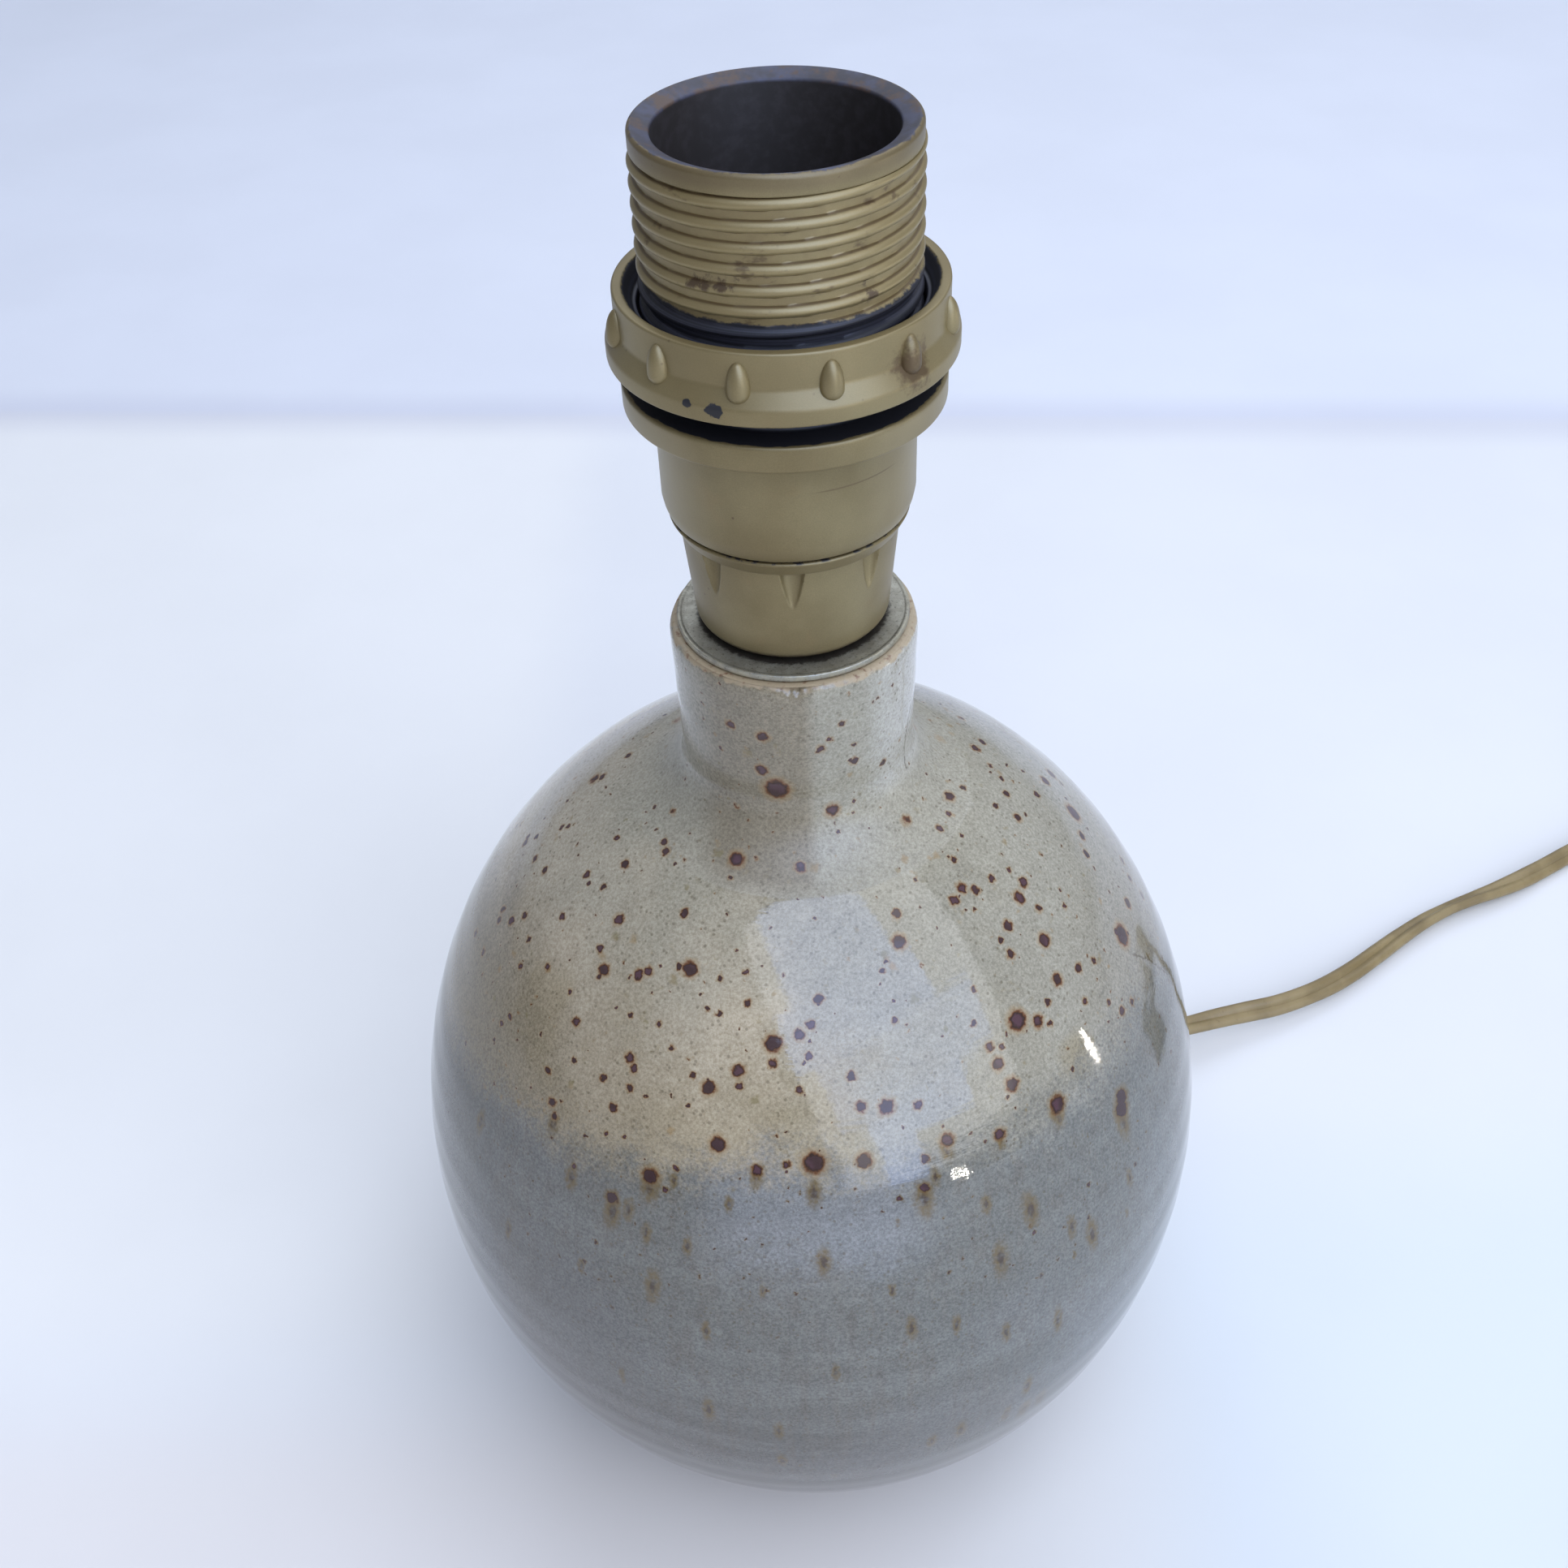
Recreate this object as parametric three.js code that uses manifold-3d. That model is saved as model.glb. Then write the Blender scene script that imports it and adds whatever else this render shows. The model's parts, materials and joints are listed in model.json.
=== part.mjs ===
// A table lamp base: a glazed stoneware body, a gold painted screw lampholder on its neck,
// and a flat flex with an in-line switch and a two pin plug.
// Millimetres, +Z up, origin on the table under the body's middle.

import * as THREE from 'three';
import { mergeVertices } from 'three/addons/utils/BufferGeometryUtils.js';
import Module from 'manifold-3d';

const wasm = await Module();
wasm.setup();

// Fits and facets
const gap = 0.3; // left between pieces that touch on the real lamp
const overrun = 5; // by which a cut runs past the faces that it opens
const bodySteps = 48;
const holderSteps = 36;
const innerSteps = 16;
const screwSteps = 12;
const arcSteps = 3;

// Stoneware body
const bodyRadius = 76;
const bodyHalfHeight = 89.3; // of the ellipse that the side follows
const bodyWall = 6;
const footRadius = 47.1; // where the side ends, above the bevelled foot
const footBevel = 1.2;
const footRingWidth = 8;
const footRecessDepth = 2;
const floorHeight = 8; // of the floor inside
const mouthHeight = 188.8;
const mouthRound = 1;
const neckRadius = 19.9; // at the mouth
const neckWaistRadius = 19.4; // above the fillet
const neckWall = 4.4;
const neckFilletRise = 8;
const neckFilletReach = 10;
const sideSteps = 16;
const filletSteps = 5;

// Disc, rubber plug and tube in the neck
const neckDiscRadius = 18.5;
const neckDiscThickness = 1;
const neckDiscBevel = 0.3;
const tubeRadius = 5;
const tubeWall = 1;
const tubeOverNut = 3.5; // of the tube, below the lower nut
const plugHeight = 24;
const plugTaper = 0.6;
const washerRadius = 13;
const washerThickness = 1.5;
const nutAcrossFlats = 16;
const nutThickness = 4;
const tubeBushThickness = 1.2;
const tubeBushBore = 3.4;

// Lampholder cap
const capHeight = 19.8; // up to the parting line
const capBossRadius = 8;
const capDish = 0.2; // rise of the underside around the boss
const capFootRadius = 15.3;
const capFootRound = 1.6;
const capWall = 2.4;
const capFloor = 3; // thickness over the dish
const capLedgeDrop = 2.6; // from the parting line to the ledge over the flutes
const capLedgeRadius = 16.8;
const partingRadius = 18.35;
const spigotHeight = 8.8;
const spigotWall = 2;
const innerBossRadius = 8.2;
const innerBossHeight = 5;
const fluteCount = 8;
const fluteLength = 6.4;
const fluteRadius = 1.7; // at the ledge
const fluteSides = 6;
const grubScrewRadius = 1.3;
const grubScrewLength = 4;

// Lampholder shell
const shellHeight = 56.7; // from the parting line to the rim
const boreRadius = 16.4;
const rimRadius = 18.9; // of the rim's highest edge
const rimSlope = 1; // by which the worn rim falls towards the bore
const rimRound = 0.5;
const rimBandRadius = 19.4;
const rimBandHeight = 2.9; // plain band between the thread and the rim's highest edge
const threadRootRadius = 18.8;
const threadCrestRadius = 19.7;
const threadPitch = 2.83;
const threadLength = 30.8;
const flangeRadius = 23.4;
const flangeDrop = 35.1; // from the rim to the flange's upper face
const flangeThickness = 4.05;
const flangeRound = 0.5;
const seatGrooveDepth = 0.4; // round the thread's foot, so that a shade's ring lies flat
const barrelRadius = 19.1;
const shoulderRise = 2.8; // of the rounded shoulder over the parting line
const stopDepth = 17.2; // from the rim to the stop inside the bore
const stopThickness = 1.5;
const stopBore = 14.9;

// Shade ring
const ringHeight = 9.8;
const ringRise = 3.8; // over the flange
const ringBandRadius = 25;
const ringBandHeight = 2.4;
const ringBandBevel = 0.3;
const ringSkirtHeight = 2.3; // of the slope between the band and the collar
const ringCollarRadius = 23.45;
const ringLipWidth = 1.5;
const ringLipRound = 0.5;
const ringDishDepth = 2.4;
const ringDishRadius = 20.7;
const ringThreadClearance = 0.4;
const ribCount = 12;
const ribTurn = 15; // degrees from the side to the first rib
const ribReach = 1.75; // out of the collar
const ribWidth = 3.4;
const ribHeight = 6.2;
const ribSides = 8;
const ribRows = 6;

// Insulator and contacts in the holder
const insulatorFloor = 7.7; // thickness under the screw shell
const collarWall = 2.1;
const shellWall = 0.4;
const screwShellHeight = 20.2;
const screwShellCrest = 13.28; // radius inside the thread's crest
const screwShellRoot = 12.3; // radius inside its root
const screwShellPitch = 3.63;
const screwShellLip = 1.5;
const screwShellFlangeBore = 10.9;
const livePostX = 8.5;
const neutralPostX = -11.4;
const postRadius = 1.2;
const terminalSize = 6;
const terminalHeight = 7;
const terminalX = 8.5;
const terminalScrewRadius = 1;
const terminalScrewDepth = 2.4;
const terminalHeadRadius = 1.9;
const terminalHeadHeight = 1.2;
const contactWidth = 5;
const contactThickness = 0.5;
const contactRise = 3.3; // of the tongue over the insulator's floor
const contactTail = 1.4; // either side of the post
const wireRadius = 0.95;

// Flat twin flex
const flexWidth = 5.4;
const flexThickness = 2.7;
const flexWaistShare = 0.62; // thickness left in the groove between the two cores
const flexExitHeight = 14;
const flexExitAngle = 35; // degrees round from +X, where it leaves the body
const flexRise = 12.2; // of its end over the cap's boss

// Bush in the cord hole, with its reaches from the outside of the wall
const cordHoleRadius = 5;
const bushReachIn = 12.3;
const bushShoulderReach = 1.7;
const bushReachOut = 14.7;
const bushTipRadius = 3.9;
const bushRound = 0.6;

// Coil of the stored flex
const coilX = 312;
const coilY = 95;
const coilRadius = 38.8; // of the outermost turn's middle
const coilTurnSpacing = 4.4;
const coilLayerSpacing = 5.9;
const coilLayerTurns = 2.875;
const coilClimbTurns = 0.5;
const coilClimbStartShare = 0.2; // of the climbing half turn
const coilClimbEndShare = 0.8;
const coilStepsPerTurn = 24;
const tieThickness = 0.8;
const tieWidth = 6;
const tieAngle = 160; // degrees round the coil

// In-line switch
const switchLength = 58;
const switchWidth = 24;
const switchHeading = 17.5; // degrees
const switchBaseHeight = 8;
const switchCoverHeight = 8.2;
const switchBevel = 1.2;
const switchRimWidth = 5.2;
const switchFloor = 2;
const switchEndWall = 7;
const switchNose = 7; // half width of its ends
const switchTaper = 14; // length over which it narrows to its ends
const windowLength = 21.6;
const windowWidth = 12;
const rockerLength = 19;
const rockerWidth = 11;
const rockerBottomLength = 11;
const rockerTilt = 9; // degrees either side of level
const rockerPivotHeight = 12.6;
const rockerRise = 4.6; // of its ends over the pivot
const rockerDip = 1.6; // of its middle below its ends
const rockerDrop = 3; // of its underside below the pivot
const pivotPinRadius = 1;
const pivotPinSeat = 1.5; // into each side of the cover
const switchScrewRadius = 1;
const switchScrewHead = 1.6;
const switchScrewHeadHeight = 1.5;
const switchScrewX = 12;
const switchScrewY = 8.6;
const switchScrewReach = 4; // into the cover
const stripWidth = 3;
const stripThickness = 0.6;
const stripLength = 13;
const stripY = -3.5;
const throughCoreY = 3.5;
const throughCoreRadius = 1.1;

// Two pin plug
const plugNoseLength = 11;
const plugNoseStartRadius = 3.3;
const plugNoseEndRadius = 4.8;
const plugBodyLength = 36;
const plugBodyWidth = 35.3;
const plugBodyThickness = 13.7;
const plugRearWidth = 12;
const plugBevel = 1.6;
const plugWaistShare = 0.33; // of the body's length, where it has widened
const plugShoulderShare = 0.6;
const plugShoulderWidthShare = 0.86;
const pinRadius = 2;
const pinLength = 19;
const pinSeat = 8;
const pinSpacing = 18.6;
const pinTip = 0.8;

// Places that follow from the sizes
const footFaceRadius = footRadius - footBevel;
const sideCentreHeight =
  footBevel + bodyHalfHeight * Math.sqrt(1 - (footRadius / bodyRadius) ** 2);
const wallAtExit =
  bodyRadius * Math.sqrt(1 - ((flexExitHeight - sideCentreHeight) / bodyHalfHeight) ** 2);
const bushInnerEnd = wallAtExit - bushReachIn;
const bushShoulder = wallAtExit + bushShoulderReach;
const bushOuterEnd = wallAtExit + bushReachOut;
const neckBore = neckRadius - neckWall;
const discLow = mouthHeight + gap;
const capBase = discLow + neckDiscThickness + gap;
const partingHeight = capBase + capHeight;
const spigotTop = partingHeight + spigotHeight;
const spigotRadius = boreRadius - 2 * gap;
const cavityFloor = capBase + capDish + capFloor;
const shellBase = partingHeight + gap;
const rimHeight = shellBase + shellHeight;
const flangeTop = rimHeight - flangeDrop;
const flangeLow = flangeTop - flangeThickness;
const seatInnerRadius = threadCrestRadius + gap;
const threadTop = rimHeight - rimBandHeight;
const threadLow = threadTop - threadLength;
const stopTop = rimHeight - stopDepth;
const stopLow = stopTop - stopThickness;
const insulatorLow = spigotTop + gap;
const insulatorFloorTop = insulatorLow + insulatorFloor;
const collarTop = stopLow - gap;
const collarRadius = boreRadius - gap;
const screwShellLow = insulatorFloorTop + gap;
const screwShellTop = screwShellLow + screwShellHeight;
const terminalTop = spigotTop;
const terminalLow = terminalTop - terminalHeight;
const ringLow = flangeTop + ringRise;
const plugTop = mouthHeight;
const plugLow = plugTop - plugHeight;
const washerLow = plugLow - gap - washerThickness;
const nutLow = washerLow - gap - nutThickness;
const tubeLow = nutLow - tubeOverNut;
const flexTop = capBase + flexRise;
const tubeTop = flexTop - gap - tubeBushThickness - gap;
const tubeClearRadius = tubeRadius + gap;
const coilLift = tieThickness + gap;
const coilLowLayer = coilLift + flexWidth / 2;
const switchTop = switchBaseHeight + gap + switchCoverHeight;
const circle = 2 * Math.PI;

// Finishes
function finish(color, roughness, metalness = 0) {
  return new THREE.MeshStandardMaterial({ color, roughness, metalness });
}
const stoneware = finish(0xb5b29c, 0.25);
const goldPaint = finish(0x8f8058, 0.45, 0.2);
const agedBrass = finish(0x77715a, 0.4, 0.8);
const brass = finish(0xb8953f, 0.35, 0.9);
const zincSteel = finish(0x9a9a96, 0.4, 0.8);
const blackRubber = finish(0x1c1c1c, 0.8);
const darkMoulding = finish(0x2a2522, 0.5);
const goldFlex = finish(0x8c7747, 0.4);
const goldMoulding = finish(0x8f7c4b, 0.45);
const clearBush = finish(0x6b6040, 0.5);
const liveWire = finish(0x6a4326, 0.5);
const neutralWire = finish(0x35589a, 0.5);
const tieRibbon = finish(0x222222, 0.6);

// Shape helpers
function signedVolume(position, corners) {
  const [a, b, c] = [new THREE.Vector3(), new THREE.Vector3(), new THREE.Vector3()];
  let sum = 0;
  for (let i = 0; i < corners.length; i += 3) {
    a.fromBufferAttribute(position, corners[i]);
    b.fromBufferAttribute(position, corners[i + 1]);
    c.fromBufferAttribute(position, corners[i + 2]);
    sum += a.dot(b.cross(c));
  }
  return sum;
}

// One closed skin: shared corners merged, empty triangles left out and every face turned outwards
function closed(geometry) {
  const bare = new THREE.BufferGeometry();
  bare.setAttribute('position', geometry.getAttribute('position'));
  bare.setIndex(geometry.index);
  const welded = mergeVertices(bare);
  const corners = welded.index.array;
  const kept = [];
  for (let i = 0; i < corners.length; i += 3) {
    const [a, b, c] = [corners[i], corners[i + 1], corners[i + 2]];
    if (a !== b && b !== c && c !== a) kept.push(a, b, c);
  }
  if (signedVolume(welded.getAttribute('position'), kept) < 0) kept.reverse();
  welded.setIndex(kept);
  return welded;
}

function toManifold(geometry) {
  const skin = closed(geometry);
  const vertProperties = new Float32Array(skin.getAttribute('position').array);
  const triVerts = new Uint32Array(skin.index.array);
  return new wasm.Manifold(new wasm.Mesh({ numProp: 3, vertProperties, triVerts }));
}

function fromManifold(solid) {
  const mesh = solid.getMesh();
  const geometry = new THREE.BufferGeometry();
  geometry.setAttribute('position', new THREE.BufferAttribute(mesh.vertProperties, 3));
  geometry.setIndex(new THREE.BufferAttribute(mesh.triVerts, 1));
  return geometry;
}

function cut(geometry, ...tools) {
  const start = toManifold(geometry);
  return fromManifold(tools.reduce((rest, tool) => rest.subtract(toManifold(tool)), start));
}

function join(geometry, ...others) {
  const start = toManifold(geometry);
  return fromManifold(others.reduce((sum, other) => sum.add(toManifold(other)), start));
}

// Profiles are lists of [radius, height]
function revolve(profile, steps) {
  const points = profile.map(([radius, height]) => new THREE.Vector2(radius, height));
  return new THREE.LatheGeometry(points, steps).rotateX(Math.PI / 2);
}

function revolveRing(profile, steps) {
  return revolve([...profile, profile[0]], steps);
}

function tube(inner, outer, low, high, steps) {
  return revolveRing([[inner, low], [outer, low], [outer, high], [inner, high]], steps);
}

function rod(radius, low, high, steps) {
  return revolve([[0, low], [radius, low], [radius, high], [0, high]], steps);
}

function block(low, high) {
  const size = high.map((value, i) => value - low[i]);
  const middle = high.map((value, i) => (value + low[i]) / 2);
  return new THREE.BoxGeometry(...size).translate(...middle);
}

// Turns a piece that was made along +Z to point along +X
function layAlongX(geometry) {
  return geometry.rotateY(Math.PI / 2);
}

function arc(centreRadius, centreHeight, radius, fromAngle, toAngle) {
  const points = [];
  for (let i = 0; i <= arcSteps; i += 1) {
    const angle = THREE.MathUtils.degToRad(THREE.MathUtils.lerp(fromAngle, toAngle, i / arcSteps));
    points.push([
      centreRadius + radius * Math.cos(angle),
      centreHeight + radius * Math.sin(angle),
    ]);
  }
  return points;
}

function polygon(points) {
  return new THREE.Shape(points.map(([x, y]) => new THREE.Vector2(x, y)));
}

function extrude(shape, depth, options = {}) {
  return new THREE.ExtrudeGeometry(shape, { depth, bevelEnabled: false, ...options });
}

const lamp = new THREE.Group();

function addPiece(name, geometry, material, parent = lamp) {
  const mesh = new THREE.Mesh(closed(geometry), material);
  mesh.name = name;
  parent.add(mesh);
}

function repeatRound(count, make) {
  return Array.from({ length: count }, (_, i) => make((i / count) * circle));
}

// Helical walls: the share of a pitch at which each row lies, and how far it stands out
const threadRowShares = [
  [0, 0],
  [0.24, 1],
  [0.78, 1],
];

// Rows of one column of a thread, from its low end to its high end, where it fades into the root
function threadRows(angle, low, high, pitch, root, crest) {
  const rows = [];
  const turns = Math.ceil((high - low) / pitch) + 1;
  for (let turn = -1; turn < turns; turn += 1) {
    for (const [place, share] of threadRowShares) {
      const height = low + pitch * (turn + place + angle / circle);
      const clipped = THREE.MathUtils.clamp(height, low, high);
      const fade = Math.min(1, (2 * (clipped - low)) / pitch, (2 * (high - clipped)) / pitch);
      rows.push([root + (crest - root) * share * fade, clipped]);
    }
  }
  return rows;
}

// A closed ring whose columns are loops of [radius, height] that change with the angle
function sweepColumns(columnAt, columns) {
  const position = [];
  const index = [];
  let rows = 0;
  for (let i = 0; i <= columns; i += 1) {
    const angle = (i / columns) * circle;
    const loop = columnAt(angle);
    rows = loop.length;
    for (const [radius, height] of loop) {
      position.push(radius * Math.cos(angle), radius * Math.sin(angle), height);
    }
  }
  for (let i = 0; i < columns; i += 1) {
    for (let j = 0; j < rows; j += 1) {
      const [here, next] = [i * rows, (i + 1) * rows];
      const up = (j + 1) % rows;
      index.push(here + j, next + j, next + up, here + j, next + up, here + up);
    }
  }
  const geometry = new THREE.BufferGeometry();
  geometry.setAttribute('position', new THREE.Float32BufferAttribute(position, 3));
  geometry.setIndex(index);
  return geometry;
}

// Stoneware body
function ellipseArc(radius, halfHeight, fromAngle, toAngle, steps) {
  const points = [];
  for (let i = 0; i <= steps; i += 1) {
    const angle = THREE.MathUtils.lerp(fromAngle, toAngle, i / steps);
    points.push([
      radius * Math.sin(angle),
      sideCentreHeight + halfHeight * Math.cos(angle),
    ]);
  }
  return points;
}

function heightOnSide(radius) {
  return sideCentreHeight + bodyHalfHeight * Math.sqrt(1 - (radius / bodyRadius) ** 2);
}

function atFlexExit(geometry) {
  return geometry.rotateZ(THREE.MathUtils.degToRad(flexExitAngle));
}

function makeBody() {
  const innerRadius = bodyRadius - bodyWall;
  const innerHalfHeight = bodyHalfHeight - bodyWall;
  const footAngle = Math.acos((footBevel - sideCentreHeight) / bodyHalfHeight);
  const filletRadius = neckWaistRadius + neckFilletReach;
  const filletAngle = Math.asin(filletRadius / bodyRadius);
  const outside = ellipseArc(bodyRadius, bodyHalfHeight, footAngle, filletAngle, sideSteps);
  const neckCorner = heightOnSide(neckWaistRadius);
  const fillet = new THREE.QuadraticBezierCurve(
    new THREE.Vector2(filletRadius, heightOnSide(filletRadius)),
    new THREE.Vector2(neckWaistRadius, neckCorner),
    new THREE.Vector2(neckWaistRadius, neckCorner + neckFilletRise),
  );
  const filletPoints = fillet.getPoints(filletSteps).slice(1).map(({ x, y }) => [x, y]);
  const floorAngle = Math.acos((floorHeight - sideCentreHeight) / innerHalfHeight);
  const inside = ellipseArc(
    innerRadius,
    innerHalfHeight,
    Math.asin(neckBore / innerRadius),
    floorAngle,
    Math.round(sideSteps / 2),
  );
  const recessRadius = footFaceRadius - footRingWidth;
  const roundHeight = mouthHeight - mouthRound;
  const shape = revolve(
    [
      [0, footRecessDepth],
      [recessRadius, footRecessDepth],
      [recessRadius + footRecessDepth, 0],
      [footFaceRadius, 0],
      ...outside,
      ...filletPoints,
      ...arc(neckRadius - mouthRound, roundHeight, mouthRound, 0, 90),
      [neckBore, mouthHeight],
      ...inside,
      [0, floorHeight],
    ],
    bodySteps,
  );
  const hole = atFlexExit(
    layAlongX(rod(cordHoleRadius, bushInnerEnd - overrun, bushOuterEnd + overrun, innerSteps))
      .translate(0, 0, flexExitHeight),
  );
  addPiece('ceramic_body', cut(shape, hole), stoneware);
}

// Disc, rubber plug, washer, nut and tube in the neck
function makeNeckFittings() {
  const discTop = discLow + neckDiscThickness;
  const disc = [
    [tubeClearRadius, discLow],
    [neckDiscRadius, discLow],
    [neckDiscRadius, discTop - neckDiscBevel],
    [neckDiscRadius - neckDiscBevel, discTop],
    [tubeClearRadius, discTop],
  ];
  addPiece('neck_disc', revolveRing(disc, holderSteps), agedBrass);

  const plug = [
    [tubeClearRadius, plugLow],
    [neckBore - gap - plugTaper, plugLow],
    [neckBore - gap, plugTop],
    [tubeClearRadius, plugTop],
  ];
  addPiece('rubber_plug', revolveRing(plug, innerSteps), blackRubber);

  const washer = tube(
    tubeClearRadius, washerRadius, washerLow, washerLow + washerThickness, innerSteps,
  );
  addPiece('clamp_washer', washer, zincSteel);

  const corner = nutAcrossFlats / Math.sqrt(3);
  const hexagon = polygon(
    repeatRound(6, (angle) => [corner * Math.cos(angle), corner * Math.sin(angle)]),
  );
  const bore = new THREE.Path();
  bore.absarc(0, 0, tubeClearRadius, 0, circle, true);
  hexagon.holes.push(bore);
  const nut = extrude(hexagon, nutThickness, { curveSegments: innerSteps / 2 });
  addPiece('lower_locknut', nut.translate(0, 0, nutLow), zincSteel);

  addPiece(
    'threaded_tube',
    tube(tubeRadius - tubeWall, tubeRadius, tubeLow, tubeTop, innerSteps),
    zincSteel,
  );
  const bushLow = tubeTop + gap;
  addPiece(
    'tube_bush',
    tube(tubeBushBore, tubeRadius, bushLow, bushLow + tubeBushThickness, innerSteps),
    darkMoulding,
  );
}

// Lampholder cap with its flutes and grub screw
function makeCap() {
  const dishHeight = capBase + capDish;
  const bossTop = cavityFloor + innerBossHeight;
  const ledgeHeight = partingHeight - capLedgeDrop;
  const profile = [
    [tubeClearRadius, capBase],
    [capBossRadius, capBase],
    [capBossRadius, dishHeight],
    ...arc(capFootRadius - capFootRound, dishHeight + capFootRound, capFootRound, -90, 0),
    [capLedgeRadius, ledgeHeight],
    [partingRadius, partingHeight],
    [spigotRadius, partingHeight],
    [spigotRadius, spigotTop],
    [spigotRadius - spigotWall, spigotTop],
    [spigotRadius - spigotWall, ledgeHeight],
    [capFootRadius - capWall, cavityFloor],
    [innerBossRadius, cavityFloor],
    [innerBossRadius, bossTop],
    [tubeClearRadius, bossTop],
  ];
  const flutes = repeatRound(fluteCount, (angle) =>
    new THREE.ConeGeometry(fluteRadius, fluteLength, fluteSides)
      .rotateX(-Math.PI / 2)
      .translate(capLedgeRadius, 0, ledgeHeight - fluteLength / 2)
      .rotateZ(angle - Math.PI / 2));
  const screwHeight = cavityFloor + innerBossHeight / 2;
  const screwStart = tubeClearRadius;
  const screwAt = (geometry) =>
    layAlongX(geometry).rotateZ(Math.PI / 2).translate(0, 0, screwHeight);
  const hole = screwAt(
    rod(grubScrewRadius + gap, tubeRadius, capFootRadius + overrun, screwSteps),
  );
  addPiece('holder_cap', cut(revolveRing(profile, holderSteps), hole, ...flutes), goldPaint);
  addPiece(
    'cap_grub_screw',
    screwAt(rod(grubScrewRadius, screwStart, screwStart + grubScrewLength, screwSteps)),
    zincSteel,
  );
}

// Lampholder shell: barrel, flange and outside thread in one moulding
function makeShell() {
  const barrelFoot = shellBase + shoulderRise;
  const below = [
    [boreRadius, shellBase],
    [partingRadius, shellBase],
    [(partingRadius + 2 * barrelRadius) / 3, shellBase + shoulderRise / 2],
    [barrelRadius, barrelFoot],
    [barrelRadius, flangeLow],
    [flangeRadius, flangeLow],
    [flangeRadius, flangeTop - flangeRound],
    [flangeRadius - flangeRound, flangeTop],
    [seatInnerRadius, flangeTop],
    [seatInnerRadius, flangeTop - seatGrooveDepth],
    [threadRootRadius, flangeTop - seatGrooveDepth],
  ];
  const above = [
    [rimBandRadius, threadTop],
    [rimBandRadius, rimHeight - rimRound],
    [rimRadius, rimHeight],
    [boreRadius, rimHeight - rimSlope],
    [boreRadius, stopTop],
    [stopBore, stopTop],
    [stopBore, stopLow],
    [boreRadius, stopLow],
  ];
  const columnAt = (angle) => [
    ...below,
    ...threadRows(angle, threadLow, threadTop, threadPitch, threadRootRadius, threadCrestRadius),
    ...above,
  ];
  addPiece('holder_shell', sweepColumns(columnAt, holderSteps), goldPaint);
}

// Shade ring with its ribs
function makeShadeRing() {
  const skirtLow = ringLow + ringBandHeight;
  const collarLow = skirtLow + ringSkirtHeight;
  const top = ringLow + ringHeight;
  const bore = threadCrestRadius + ringThreadClearance;
  const profile = [
    [bore, ringLow],
    [ringBandRadius - ringBandBevel, ringLow],
    [ringBandRadius, ringLow + ringBandBevel],
    [ringBandRadius, skirtLow],
    [ringCollarRadius, collarLow],
    ...arc(ringCollarRadius - ringLipRound, top - ringLipRound, ringLipRound, 0, 90),
    [ringCollarRadius - ringLipWidth, top],
    [ringDishRadius, top - ringDishDepth],
    [bore, top - ringDishDepth],
  ];
  const ribMiddle = skirtLow + ribHeight / 2;
  const ribs = repeatRound(ribCount, (angle) =>
    new THREE.SphereGeometry(1, ribSides, ribRows)
      .rotateX(Math.PI / 2)
      .scale(ribReach, ribWidth / 2, ribHeight / 2)
      .translate(ringCollarRadius, 0, ribMiddle)
      .rotateZ(angle + THREE.MathUtils.degToRad(ribTurn)));
  addPiece('shade_ring', join(revolveRing(profile, holderSteps), ...ribs), goldPaint);
}

// Insulator, contacts, terminals and wires in the holder
function makeInsulator() {
  const profile = [
    [0, insulatorLow],
    [collarRadius, insulatorLow],
    [collarRadius, collarTop],
    [collarRadius - collarWall, collarTop],
    [collarRadius - collarWall, insulatorFloorTop],
    [0, insulatorFloorTop],
  ];
  const holes = [livePostX, neutralPostX].map((x) =>
    rod(postRadius + gap, insulatorLow - overrun, insulatorFloorTop + overrun, screwSteps)
      .translate(x, 0, 0));
  addPiece('contact_block', cut(revolve(profile, holderSteps), ...holes), darkMoulding);
}

function makeScrewShell() {
  const threadHigh = screwShellTop - screwShellLip;
  const columnAt = (angle) => {
    const rows = threadRows(
      angle, screwShellLow + shellWall, threadHigh, screwShellPitch, screwShellRoot, screwShellCrest,
    );
    const outside = rows.map(([radius, height]) => [radius + shellWall, height]);
    return [
      [screwShellFlangeBore, screwShellLow],
      [screwShellRoot + shellWall, screwShellLow],
      ...outside,
      [screwShellRoot + shellWall, screwShellTop],
      [screwShellRoot, screwShellTop],
      ...rows.reverse(),
      [screwShellFlangeBore, screwShellLow + shellWall],
    ];
  };
  addPiece('screw_shell', sweepColumns(columnAt, innerSteps), brass);
}

function makeCentreContact() {
  const low = insulatorFloorTop + gap;
  const line = [
    [livePostX + contactTail, low],
    [livePostX - contactTail, low],
    [contactWidth / 2, low + contactRise],
    [-contactWidth / 2, low + contactRise + contactThickness],
    [-contactWidth, low + contactRise / 2 + contactThickness],
  ];
  const upper = line.map(([x, z]) => [x, z + contactThickness]).reverse();
  const tongue = extrude(polygon([...line, ...upper]), contactWidth)
    .rotateX(Math.PI / 2)
    .translate(0, contactWidth / 2, 0);
  addPiece('centre_contact', tongue, brass);
}

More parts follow.
